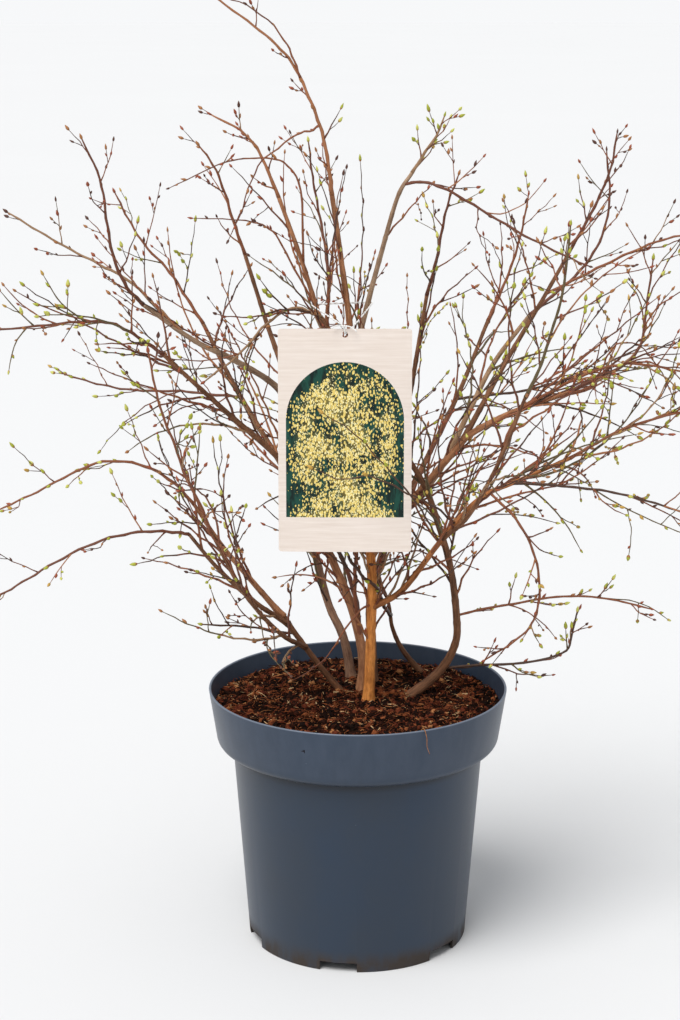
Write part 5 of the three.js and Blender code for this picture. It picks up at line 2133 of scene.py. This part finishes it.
@dataclass
class PottingMix:
    """The potting mix: a low rough mound strewn with crumbs, slivers of bark and coir fibres."""

    top: float = 252.0
    crest: float = 1.2
    edge: float = 246.0
    flat: float = 56.0
    rim: float = 148.6
    lip: float = 3.0
    depth: float = 30.0
    heap: float = 3.4
    heap_spread: float = 150.0
    coarse: Bumps = Bumps(0.03, 3.1, 1.0, 2.0, 3.0)
    fine: Bumps = Bumps(0.14, 7.7, 0.8, 2.1, 2.3)
    rings: int = 76
    sides: int = 150
    seed: int = 4711
    strand_turn: float = -66.0
    strand: tuple[Point, ...] = ((138, 251, -3), (146, 259, -2), (150.5, 267.2, 0), (153.8, 266.6, 1),
                                 (154.4, 258, 3), (153.8, 250, 3.5), (154.6, 242, 6))
    strand_runs: int = 24
    strand_sides: int = 5
    strand_radius: Range = (0.6, 0.25)
    strand_finish: int = 4

    def level(self, x: float, y: float) -> float:
        """Works out the height of the mix.

        Args:
            x: the place to the right.
            y: the place to the back.

        Returns:
            The height there.
        """
        fall = max(0.0, min(1.0, (math.hypot(x, y) - self.flat) / (self.rim - self.flat)))
        base = self.top + self.crest - (self.top + self.crest - self.edge) * fall * fall
        rough = base + self.coarse.at(x, y) + self.fine.at(x, y)
        near = max(math.exp(-((x - stem.foot[0]) ** 2 + (y - stem.foot[1]) ** 2) / self.heap_spread)
                   for stem in STEMS)
        return rough + (max(rough, self.top + self.heap) - rough) * near

    def mound(self) -> bpy.types.Mesh:
        """Makes the body of the mix, closed and rough on top.

        Returns:
            Its mesh.
        """
        work = bmesh.new()
        floor = (self.top - self.depth) * MM
        outline = [(self.rim * MM * k / self.rings, 0, self.top * MM) for k in range(self.rings + 1)]
        turned(work, [*outline, ((self.rim - self.lip) * MM, 0, floor), (0, 0, floor)], self.sides)
        for v in work.verts:
            if v.co.z > (self.top - self.depth / 2) * MM:
                v.co.z = self.level(v.co.x / MM, v.co.y / MM) * MM
        return to_mesh(work, "potting_mix")

    def scatter(self) -> tuple[Joined, Joined]:
        """Strews the mix.

        Returns:
            The crumbs, and the slivers and fibres.
        """
        rng = np.random.default_rng(self.seed)
        lumps, strewn = Joined(), Joined()
        for kind in (Crumb(), Sliver(), Fibre(), Chip(), Tuft()):
            joined = lumps if isinstance(kind, Crumb) else strewn
            for _ in range(kind.count):
                away = (self.rim - self.lip) * math.sqrt(rng.random())
                turn = rng.random() * FULL_TURN
                x, y = away * math.cos(turn), away * math.sin(turn)
                kind.strew(joined, rng, np.array([x, y, self.level(x, y)]))
        self.hang_strand(strewn)
        return lumps, strewn

    def hang_strand(self, strewn: Joined) -> None:
        """Adds one long fibre that hangs over the rim at the front.

        Args:
            strewn: the mesh it is added to.
        """
        out = pointing(math.radians(self.strand_turn))
        aside = np.cross(UP, out)
        points = np.array([out * r + UP * z + aside * a for r, z, a in self.strand])
        radii = np.linspace(*self.strand_radius, self.strand_runs + 1)
        line = Course(points).along(self.strand_runs)
        strewn.add(*tube(line, radii, self.strand_sides), self.strand_finish)

    def build(self) -> list[bpy.types.Object]:
        """Makes the mix and what is strewn on it, and dresses both.

        Returns:
            The mound, the crumbs, and the slivers and fibres.
        """
        kinds = [
            GrainFinish("mix_black", (0.005, 0.003, 0.002), (0.016, 0.006, 0.004)),
            GrainFinish("mix_dark", (0.016, 0.005, 0.003), (0.036, 0.011, 0.006)),
            GrainFinish("mix_red", (0.080, 0.017, 0.008), (0.160, 0.038, 0.017)),
            GrainFinish("mix_rust", (0.170, 0.047, 0.017), (0.320, 0.100, 0.037)),
            GrainFinish("mix_tan", (0.310, 0.120, 0.042), (0.460, 0.205, 0.085)),
            GrainFinish("mix_straw", (0.560, 0.340, 0.160), (0.780, 0.540, 0.300), 0.6),
        ]
        finishes = [kind.build() for kind in kinds]
        ground = GrainFinish("mix_ground", (0.004, 0.002, 0.0015), (0.030, 0.010, 0.005)).build()
        lumps, strewn = self.scatter()
        made = [(self.mound(), [ground]), (lumps.mesh("mix_crumbs"), finishes),
                (strewn.mesh("mix_slivers_and_fibres"), finishes)]
        return [shown(mesh, skins, ["soil"]) for mesh, skins in made]


@dataclass
class Label:
    """The picture label: a thin card with a hole, hung from a string and leaning against the twigs."""

    width: float = 129.0
    height: float = 217.0
    thickness: float = 0.7
    corner: float = 3.0
    hole: float = 3.0
    hole_drop: float = 5.5
    at: Point = (-13.4, -58, 638)
    lean: float = 5.0
    bow: float = 1.8
    top_bow: float = 0.4
    twist: float = 1.4
    grid: tuple[int, int] = (30, 50)
    crease: float = 35.0

    def build(self) -> bpy.types.Object:
        """Makes, bows, prints and hangs the card.

        Returns:
            The card.
        """
        work = bmesh.new()
        bmesh.ops.create_grid(work, x_segments=self.grid[0], y_segments=self.grid[1], size=0.5)
        size = Matrix.Diagonal((self.width * MM, self.height * MM, 1, 1))
        drop = Matrix.Translation((0, (self.hole_drop - self.height / 2) * MM, 0))
        bmesh.ops.transform(work, matrix=drop @ size, verts=work.verts)
        corners = [v for v in work.verts if len(v.link_edges) == 2]
        bmesh.ops.bevel(work, geom=corners, offset=self.corner * MM, offset_type="OFFSET", segments=4,
                        profile=0.5, affect="VERTICES", material=-1)
        bmesh.ops.solidify(work, geom=work.faces, thickness=self.thickness * MM)
        card = carved(to_mesh(work, "label"), self.punch(), self.crease)
        self.bend(card)
        self.map_print(card)
        card.transform(self.hang())
        finishes = [plain_skin("label_back", (0.80, 0.79, 0.76)).build(), PrintFinish().build()]
        return shown(card, finishes, ["label_card"])

    def punch(self) -> bpy.types.Mesh:
        """Makes the rod that cuts the hole.

        Returns:
            Its mesh.
        """
        work = bmesh.new()
        radius = self.hole * MM
        bmesh.ops.create_cone(work, cap_ends=True, segments=32, radius1=radius, radius2=radius, depth=20 * MM)
        return to_mesh(work, "punch")

    def bend(self, card: bpy.types.Mesh) -> None:
        """Bows the card's sides back and turns its foot a little.

        Args:
            card: the card, flat.
        """
        for v in card.vertices:
            across = v.co.x / (self.width * MM / 2)
            down = (self.hole_drop * MM - v.co.y) / (self.height * MM)
            bow = -self.bow * across * across * (self.top_bow + (1 - self.top_bow) * down)
            v.co.z += (bow + self.twist * across * down) * MM

    def map_print(self, card: bpy.types.Mesh) -> None:
        """Gives the printed face its material, and its map in metres up from the card's foot.

        Args:
            card: the card, not hung yet.
        """
        layer = card.uv_layers.new(name="print")
        foot = (self.hole_drop - self.height) * MM
        for face in card.polygons:
            face.material_index = 1 if face.normal.z > 0.5 else 0
            for loop in face.loop_indices:
                spot = card.vertices[card.loops[loop].vertex_index].co
                layer.data[loop].uv = (spot.x, spot.y - foot)

    def hang(self) -> Matrix:
        """Returns the card's place: its hole at the string, its foot leaning forward."""
        turn = Matrix.Rotation(math.pi / 2 - math.radians(self.lean), 4, "X")
        return Matrix.Translation([c * MM for c in self.at]) @ turn


@dataclass
class Tie:
    """The string: one loop through the card's hole, over its edge and round two boughs, with a knot."""

    radius: float = 0.85
    height: float = 656.0
    slack: float = 0.6
    gap: float = 0.35
    card_front: float = 0.45
    plies: int = 2
    ply_sides: int = 5
    ply_offset: float = 0.5
    ply_radius: float = 0.55
    turns: float = 62.0
    end_turns: float = 7.0
    rings: int = 620
    knot_at: float = 0.915
    knot_radius: Range = (1.3, 1.2)
    knot_rings: int = 40
    ends: tuple[Point, Point] = ((13.0, -5.0, 5.0), (-11.0, -4.0, 7.0))
    droop: Range = (-9.0, -8.0)
    end_rings: int = 24

    def build(self, growth: Growth, label: Label) -> bpy.types.Object:
        """Lays and dresses the string.

        Args:
            growth: the shrub's limbs.
            label: the label it holds.

        Returns:
            The string.
        """
        line = self.course(growth, label).along(self.rings)
        string = Joined()
        self.lay(string, line, self.turns)
        for end in self.loose_ends(line):
            self.lay(string, end, self.end_turns)
        finish = plain_skin("tie_string", (0.92, 0.91, 0.89), roughness=0.8, grain=1500.0, relief=0.0002)
        return shown(string.mesh("label_string"), [finish.build()], ["label_tie"])

    def course(self, growth: Growth, label: Label) -> Course:
        """Works out the loop's line, as the frame has it.

        Args:
            growth: the shrub's limbs.
            label: the label it holds.

        Returns:
            The line.
        """
        left, left_radius = self.at_height(growth, "bough_upper_left")
        right, right_radius = self.at_height(growth, "bough_upper_right")
        offset = self.radius + self.gap
        x, y, z = label.at
        places = [
            (x, y - self.card_front - offset, z + label.hole - self.radius),
            (x, y, z + self.radius),
            (x + 4, y + 6, z + 3),
            *(self.wrap(right, right_radius + offset, turn) for turn in (-30, 30, 90)),
            *(self.wrap(left, left_radius + offset, turn) for turn in (90, 150, 210)),
            (x - 9, y + 7, z + 12),
            (x - 2, y + 0.4, z + label.hole_drop + 2 * offset),
        ]
        return Course(np.array(places, float), closed=True)

    def wrap(self, centre: np.ndarray, reach: float, degrees: float) -> Point:
        """Finds a point of the string where it passes round a bough.

        Args:
            centre: the bough's middle.
            reach: its radius and the string's own.
            degrees: the point's place round it.

        Returns:
            The point.
        """
        turn = math.radians(degrees)
        out = reach + self.slack
        return (centre[0] + out * math.cos(turn), centre[1] + out * math.sin(turn), self.height)

    def at_height(self, growth: Growth, name: str) -> tuple[np.ndarray, float]:
        """Finds where a limb passes the string's height.

        Args:
            growth: the shrub's limbs.
            name: the limb.

        Returns:
            The place, and the limb's radius there.
        """
        points, radii = growth.tubes[name]
        k = next(n for n in range(1, len(points)) if points[n][2] >= self.height)
        share = (self.height - points[k - 1][2]) / (points[k][2] - points[k - 1][2])
        return points[k - 1] + (points[k] - points[k - 1]) * share, max(radii[k - 1], radii[k])

    def lay(self, string: Joined, line: np.ndarray, turns: float) -> None:
        """Lays the twisted plies of a stretch of string along a line.

        Args:
            string: the mesh they are added to.
            line: the line, one row a point.
            turns: how often they turn round each other.
        """
        _, side, other = (np.array(axis) for axis in zip(*frames_along(line)))
        spread = ring_spread(side, -other, self.ply_sides)
        for ply in range(self.plies):
            phase = FULL_TURN * (ply / self.plies + turns * np.arange(len(line)) / (len(line) - 1))
            off = side * np.cos(phase)[:, None] + other * np.sin(phase)[:, None]
            middle = line + off * self.radius * self.ply_offset
            places = (middle[:, None] + spread * self.radius * self.ply_radius).reshape(-1, 3)
            string.add(places, ring_faces(len(line), self.ply_sides), 0)

    def loose_ends(self, line: np.ndarray) -> list[np.ndarray]:
        """Works out the knot's round and its two short ends, in front of the twigs.

        Args:
            line: the loop, one row a point.

        Returns:
            Their lines.
        """
        knot = line[int(len(line) * self.knot_at)]
        turns = np.linspace(0, 2 * FULL_TURN, self.knot_rings)
        radius, half = self.knot_radius
        rise = np.linspace(-half, half, self.knot_rings)
        lines = [knot + np.stack([radius * np.cos(turns), radius * np.sin(turns), rise], 1)]
        share = np.linspace(0, 1, self.end_rings)[:, None]
        for way, fall in zip(self.ends, self.droop):
            lines.append(knot + np.array(way) * share + UP * (fall * share**2))
        return lines


# Shrub


@dataclass
class Barked:
    """The stems and boughs with their bark: smooth tapering limbs with buds' rings and low ridges."""

    run: float = 3.2
    fewest_runs: int = 12
    stem_sides: int = 22
    bough_sides: int = 14
    sunk: float = 9.0
    sunk_radius: float = 1.1
    collar: float = 0.42
    collar_run: float = 8.0
    node_gap: float = 24.0
    node_swell: float = 0.1
    node_width: float = 1.9
    thick: float = 0.0045
    thick_swell: float = 0.45
    slimming: int = 4
    ridge: float = 0.072
    ridge_pace: Range = (1.7, 0.045)
    ridge_noise: tuple[float, float, int] = (1.0, 2.0, 3)
    step_slack: float = 1e-7

    def build(self, growth: Growth) -> list[bpy.types.Object]:
        """Makes and dresses every stem and bough.

        Args:
            growth: the shrub's lines.

        Returns:
            The stems and boughs.
        """
        colours = {
            Bark.TAN: ((0.300, 0.078, 0.013), (1.000, 0.400, 0.095), (0.90, 0.58, 0.28)),
            Bark.AMBER: ((0.125, 0.040, 0.011), (0.520, 0.195, 0.062), (0.55, 0.33, 0.18)),
            Bark.GREY_TAN: ((0.190, 0.105, 0.055), (0.450, 0.280, 0.160), (0.56, 0.42, 0.30)),
            Bark.ROSE: ((0.110, 0.053, 0.036), (0.460, 0.260, 0.158), (0.50, 0.40, 0.30)),
            Bark.BROWN: ((0.070, 0.028, 0.012), (0.290, 0.130, 0.062), (0.42, 0.26, 0.17)),
            Bark.RUSSET: ((0.150, 0.056, 0.023), (0.520, 0.235, 0.110), (0.60, 0.40, 0.27)),
            Bark.GREY: ((0.170, 0.095, 0.055), (0.460, 0.310, 0.200), (0.58, 0.45, 0.34)),
        }
        built = {bark: BarkFinish("bark_" + bark.value.replace(" ", "_"), *tones).build()
                 for bark, tones in colours.items()}
        return [self.limb(limb, growth, built[limb.bark]) for limb in STEMS + BOUGHS]

    def limb(self, limb: Limb, growth: Growth, finish: bpy.types.Material) -> bpy.types.Object:
        """Makes one limb ring by ring along its line.

        Args:
            limb: the limb.
            growth: the shrub's lines.
            finish: its bark.

        Returns:
            The limb's object.
        """
        course = growth.courses[limb.name]
        length = course.length()
        runs = max(self.fewest_runs, rounded(length / self.run))
        points = course.along(runs)
        share = np.arange(runs + 1) / runs
        radii = limb.radius[0] + (limb.radius[1] - limb.radius[0]) * share
        radii = radii * (1 - (1 - limb.slim) * (1 - share**self.slimming))
        if limb.foot:
            radii = radii * growth.flared(points)
            points = np.concatenate([[points[0] - UP * self.sunk], points])
            radii = np.concatenate([[radii[0] * self.sunk_radius], radii])
        else:
            radii = radii * (1 + self.collar * np.exp(-share * length / self.collar_run))
        sides = self.stem_sides if limb.foot else self.bough_sides
        work = self.extruded(points * MM, radii * MM, sides, bool(limb.foot))
        return shown(to_mesh(work, limb.name + "_bark"), [finish], [limb.name])

    def extruded(self, points: np.ndarray, radii: np.ndarray, sides: int, foot: bool) -> bmesh.types.BMesh:
        """Extrudes a ring along a line and raises the bark's relief on it.

        Args:
            points: the line in metres.
            radii: the radius at each point in metres.
            sides: the number of sides.
            foot: whether the limb stands on the mix.

        Returns:
            The limb, with each vertex's place on the limb in the attribute "limb".
        """
        work = bmesh.new()
        layer = work.verts.layers.float_vector.new("limb")
        ring = bmesh.ops.create_circle(work, cap_ends=True, segments=sides, radius=1)["verts"]
        steps = steps_along(points)
        for v in ring:
            v[layer] = (v.co.x, v.co.y, 0)
        edges = list(work.edges)
        before = Matrix.Identity(4)
        for k, (heading, side, other) in enumerate(frames_along(points, foot)):
            now = Matrix.Translation(points[k]) @ Matrix((side, other, -heading)).transposed().to_4x4()
            now = now @ Matrix.Diagonal((radii[k], radii[k], radii[k], 1))
            if k:
                grown = bmesh.ops.extrude_edge_only(work, edges=edges)["geom"]
                ring = [g for g in grown if isinstance(g, bmesh.types.BMVert)]
                edges = [g for g in grown if isinstance(g, bmesh.types.BMEdge) and g.is_boundary]
            bmesh.ops.transform(work, matrix=now @ before.inverted(), verts=ring)
            before = now
            for v in ring:
                flat = v[layer]
                v[layer] = (flat.x, flat.y, steps[k])
        bmesh.ops.contextual_create(work, geom=edges)
        for v in work.verts:
            flat = v[layer]
            k = min(int(np.searchsorted(steps, flat.z - self.step_slack)), len(points) - 1)
            v.co += (v.co - Vector(points[k])) * self.relief(flat, radii[k])
            v[layer] = (flat.x * radii[k], flat.y * radii[k], flat.z)
        return work

    def relief(self, spot: Vector, radius: float) -> float:
        """Works out how far the bark stands proud.

        Args:
            spot: the place round the limb, and along it in metres.
            radius: the limb's radius there in metres.

        Returns:
            The height there, as a share of the radius.
        """
        along = spot.z / MM
        round_pace, pace = self.ridge_pace
        place = Vector((spot.x * round_pace, spot.y * round_pace, along * pace))
        ridges = noise.fractal(place, *self.ridge_noise) * self.ridge
        from_node = ((along % self.node_gap) - self.node_gap / 2) / self.node_width
        nodes = self.node_swell * math.exp(-(from_node**2))
        return ridges + nodes * (1.0 if radius < self.thick else self.thick_swell)


@dataclass(frozen=True)
class Buds:
    """How buds stand and look."""

    chance: float = 0.52
    leader_chance: float = 0.6
    bare_leader: float = 0.2
    fresh_share: float = 0.8
    lean: Range = (0.25, 0.7)
    lift: float = 0.08
    sunk: float = 0.5
    size: Range = (0.7, 1.25)
    tip_size: float = 1.1
    length: Range = (3.8, 5.6)
    width: Range = (0.22, 0.3)
    fresh_growth: Range = (1.2, 1.25)
    bend: float = 0.12
    sides: int = 6
    rings: tuple[Range, ...] = ((0, 0.5), (0.24, 0.95), (0.5, 0.95), (0.78, 0.55), (1.0, 0.1))
    shut_tints: Range = (0.35, 0.75)
    open_tints: Range = (0.55, 0.9)
    brown_scales: float = 0.7


class BudTint(IntEnum):
    """The tints of the buds, by their finishes' numbers."""

    RED = 0
    BROWN = 1
    DARK = 2
    GREEN = 3
    PALE_GREEN = 4
    GOLD = 5


@dataclass
class Crown:
    """The young wood: every mass's twigs, and their buds, joined in a few pieces."""

    sides: int = 7
    fine_sides: int = 5
    twig_limit: int = 130000
    darker_from: int = 6
    mass_seeds: tuple[int, int] = (1009, 733)
    limb_seeds: tuple[int, int] = (50021, 97)
    how: Buds = Buds()
    twigs: Joined = field(default_factory=Joined)
    buds: Joined = field(default_factory=Joined)
    opening: Joined = field(default_factory=Joined)

    def build(self, growth: Growth) -> list[bpy.types.Object]:
        """Grows, joins and dresses the twigs and buds of every mass.

        Args:
            growth: the shrub's lines and its rule.

        Returns:
            The pieces of twigs and the two of buds.
        """
        first, step = self.mass_seeds
        held = [(mass, *growth.grow_mass(mass, first + step * n)) for n, mass in enumerate(MASSES)]
        finishes = [finish.build() for finish in self.tints()]
        pieces: list[bpy.types.Object] = []
        names: list[str] = []
        first, step = self.limb_seeds
        for number, limb in enumerate(STEMS + BOUGHS):
            onward = [leader.points for mass, leader, _, _ in held if mass.parent == (limb.name, 1)]
            for twig in growth.dress_limb(limb, first + step * number, onward):
                self.twig(twig, STARTING)
        for mass, leader, shoots, space in held:
            for twig in growth.fill_mass(mass, leader, shoots, space):
                self.twig(twig, mass.budding, mass.tint if twig is leader else None)
            names.append(mass.name)
            if self.twigs.triangles() > self.twig_limit or mass is MASSES[-1]:
                pieces.append(shown(self.twigs.mesh(f"twigs_{len(pieces) + 1}"), finishes, names))
                self.twigs, names = Joined(), []
        everything = [mass.name for mass in MASSES]
        skins = [finish.build() for finish in self.bud_tints()]
        for name, joined in (("buds_shut", self.buds), ("buds_opening", self.opening)):
            pieces.append(shown(joined.mesh(name), skins, everything))
        return pieces

    @staticmethod
    def tints() -> list[GrainFinish]:
        """Returns the finishes of young wood, in the order of Tint."""
        looks = [
            ("twig_russet", (0.240, 0.080, 0.034)),
            ("twig_chestnut", (0.150, 0.050, 0.026)),
            ("twig_umber", (0.075, 0.036, 0.022)),
            ("twig_olive", (0.120, 0.086, 0.036)),
            ("twig_copper", (0.360, 0.145, 0.062)),
            ("twig_fawn", (0.310, 0.180, 0.095)),
        ]
        return [shoot_skin(name, tint) for name, tint in looks]

    @staticmethod
    def bud_tints() -> list[GrainFinish]:
        """Returns the finishes of the buds, in the order of BudTint."""
        looks = [
            ("bud_red", (0.300, 0.070, 0.028), 0.42, 0.3),
            ("bud_brown", (0.360, 0.150, 0.050), 0.45, 0.3),
            ("bud_dark", (0.095, 0.036, 0.022), 0.5, 0.3),
            ("bud_green", (0.370, 0.390, 0.040), 0.5, 0.2),
            ("bud_pale_green", (0.560, 0.560, 0.120), 0.5, 0.2),
            ("bud_gold", (0.500, 0.300, 0.060), 0.5, 0.2),
        ]
        return [shoot_skin(name, tint, roughness, grain=600.0, depth=depth)
                for name, tint, roughness, depth in looks]

    @staticmethod
    def tint(twig: Twig) -> Tint:
        """Deals out a twig's tint by spray.

        Args:
            twig: the twig.

        Returns:
            The tint.
        """
        own = Dice(child_seed(twig.spray, Draw.TINT)).roll()
        shares = [(0.34, Tint.RUSSET), (0.64, Tint.CHESTNUT), (0.72, Tint.UMBER), (0.82, Tint.OLIVE),
                  (0.93, Tint.COPPER), (1.0, Tint.FAWN)]
        return next(tint for limit, tint in shares if own <= limit)

    def twig(self, twig: Twig, budding: Budding, tint: Tint | None = None) -> None:
        """Adds one twig with its buds: the tip darker than the rest, and side twigs all dark.

        Args:
            twig: the twig.
            budding: how far its buds are open.
            tint: its tint, or None for its spray's own.
        """
        points, radii = twig.fine
        sides = self.sides if twig.level < 2 else self.fine_sides
        places, faces = tube(points, radii, sides)
        tint = tint or self.tint(twig)
        if twig.level > 1:
            tint = tint.darker
        paint = np.full(face_count(faces), tint.value)
        if twig.level:
            paint[(len(points) * self.darker_from // 10) // 2 * 2 * sides:] = tint.darker.value
        paint[-2] = tint.value
        self.twigs.add(places, faces, paint)
        self.bud_along(twig, budding)

    def bud_along(self, twig: Twig, budding: Budding) -> None:
        """Sets buds on alternate sides of a twig, and one at its tip.

        Args:
            twig: the twig.
            budding: how far its buds are open.
        """
        how = self.how
        points, radii = twig.fine
        dice = Dice(child_seed(twig.seed, Draw.BUDS))
        fresh = Dice(child_seed(twig.spray, Draw.SPRING)).roll() < budding.value
        headings, sides, others = swift_axes(points)
        turn = dice.between(0, FULL_TURN)
        start = 2 if twig.level else 2 * rounded(len(points) * how.bare_leader)
        chance = how.chance if twig.level else how.chance * how.leader_chance
        for n, k in enumerate(range(start, len(points) - 1, 2)):
            if dice.roll() > chance:
                continue
            out = sideways(sides[k], others[k], turn) * (-1 if n % 2 else 1)
            lean = dice.between(*how.lean)
            direction = unit(headings[k] * math.cos(lean) + out * math.sin(lean) + UP * how.lift)
            size = dice.between(*how.size)
            self.bud(points[k] + out * radii[k] * how.sunk, direction, dice,
                     fresh and dice.roll() < how.fresh_share, size)
        self.bud(points[-1], headings[-1], dice, fresh, how.tip_size)

    def bud(self, at: np.ndarray, direction: np.ndarray, dice: Dice, fresh: bool, size: float) -> None:
        """Adds one bud: a pointed egg, opened to green at its tip where it is fresh.

        Args:
            at: its foot.
            direction: where it points.
            dice: its twig's own chances.
            fresh: whether it is open.
            size: its size, as a share.
        """
        how = self.how
        length = dice.between(*how.length) * size
        width = length * dice.between(*how.width)
        if fresh:
            length *= how.fresh_growth[0]
            width *= how.fresh_growth[1]
        side = square(direction)
        spread = ring_spread(side[None], np.cross(direction, side)[None], how.sides)[0]
        bend = UP * how.bend
        places = np.concatenate([
            at + direction * (height * length) + bend * (height * height * length) + spread * (width * girth)
            for height, girth in how.rings])
        faces = ring_faces(len(how.rings), how.sides)
        pick = dice.roll()
        if fresh:
            tints = (BudTint.GREEN, BudTint.PALE_GREEN, BudTint.GOLD)
            paint = np.full(face_count(faces), tints[np.searchsorted(how.open_tints, pick, "right")])
            paint[:how.sides] = BudTint.BROWN if pick < how.brown_scales else BudTint.GOLD
            self.opening.add(places, faces, paint)
        else:
            tints = (BudTint.RED, BudTint.BROWN, BudTint.DARK)
            self.buds.add(places, faces, tints[np.searchsorted(how.shut_tints, pick, "right")])


@dataclass
class Studio:
    """A pale floor, soft light and the camera."""

    picture: tuple[int, int] = (680, 1020)
    focal: float = 2135.65
    eye: Point = (-0.01818, -2.08601, 0.96113)
    pitch: float = 0.24
    sensor: float = 36.0
    floor_radius: float = 60.0
    floor_tint: Colour = (0.765, 0.772, 0.785)
    sky_light: Colour = (0.96, 0.98, 1.0)
    sky_strength: float = 0.54
    sky_seen: Colour = (0.932, 0.941, 0.952)
    sun_strength: float = 2.75
    sun_size: float = 38.0
    sun_tint: Colour = (1.0, 0.985, 0.96)
    sun_way: Point = (0.45, 0.62, -1.25)

    def build(self) -> None:
        """Makes the floor, the lights and the camera."""
        self.floor()
        self.sky()
        self.sun()
        self.camera()

    def floor(self) -> None:
        """Lays the floor."""
        work = bmesh.new()
        bmesh.ops.create_circle(work, cap_ends=True, segments=96, radius=self.floor_radius)
        mesh = to_mesh(work, "floor")
        paint = plain_skin("floor_paint", self.floor_tint, roughness=0.8, grain=0.4, relief=0.0001,
                           evenness=0.985)
        mesh.materials.append(paint.build())
        if mesh.polygons[0].normal.z < 0:
            mesh.flip_normals()
        floor = linked("floor", mesh)

    def sky(self) -> None:
        """Lights the scene evenly from all round."""
        world = bpy.data.worlds.new("studio")
        world.use_nodes = True
        nodes = Nodes(world.node_tree)
        light = nodes.tree.nodes["Background"]
        nodes.feed(light.inputs["Color"], self.sky_light)
        nodes.feed(light.inputs["Strength"], self.sky_strength)
        seen = nodes.node("Background", Color=self.sky_seen).outputs["Background"]
        looking = nodes.node("LightPath").outputs["Is Camera Ray"]
        either = nodes.node("MixShader", _0=looking, _1=light.outputs["Background"], _2=seen)
        nodes.feed(nodes.tree.nodes["World Output"].inputs["Surface"], either.outputs["Shader"])
        bpy.context.scene.world = world
        bpy.context.scene.view_settings.view_transform = "Standard"

    def sun(self) -> None:
        """Adds one broad, even light from the front left, high up."""
        light = bpy.data.lights.new("key", "SUN")
        light.energy = self.sun_strength
        light.angle = math.radians(self.sun_size)
        light.color = self.sun_tint
        linked("key", light).rotation_euler = Vector(self.sun_way).to_track_quat("-Z", "Y").to_euler()

    def camera(self) -> None:
        """Sets up the camera at the photograph's view."""
        lens = bpy.data.cameras.new("camera")
        lens.sensor_width = self.sensor
        lens.lens = self.focal / max(self.picture) * self.sensor
        eye = linked("camera", lens)
        eye.location = self.eye
        eye.rotation_euler = (math.pi / 2 - self.pitch, 0, 0)
        bpy.context.scene.camera = eye


def main() -> None:
    """Builds the plant piece by piece, then the studio round it."""
    logging.basicConfig(level=logging.INFO, format="%(name)s: %(message)s")
    growth = Growth()
    for limb in STEMS + BOUGHS:
        growth.grow_limb(limb)
    Pot().build()
    PottingMix().build()
    Barked().build(growth)
    Crown().build(growth)
    label = Label()
    label.build()
    Tie().build(growth, label)
    Studio().build()


if __name__ == "__main__":
    main()
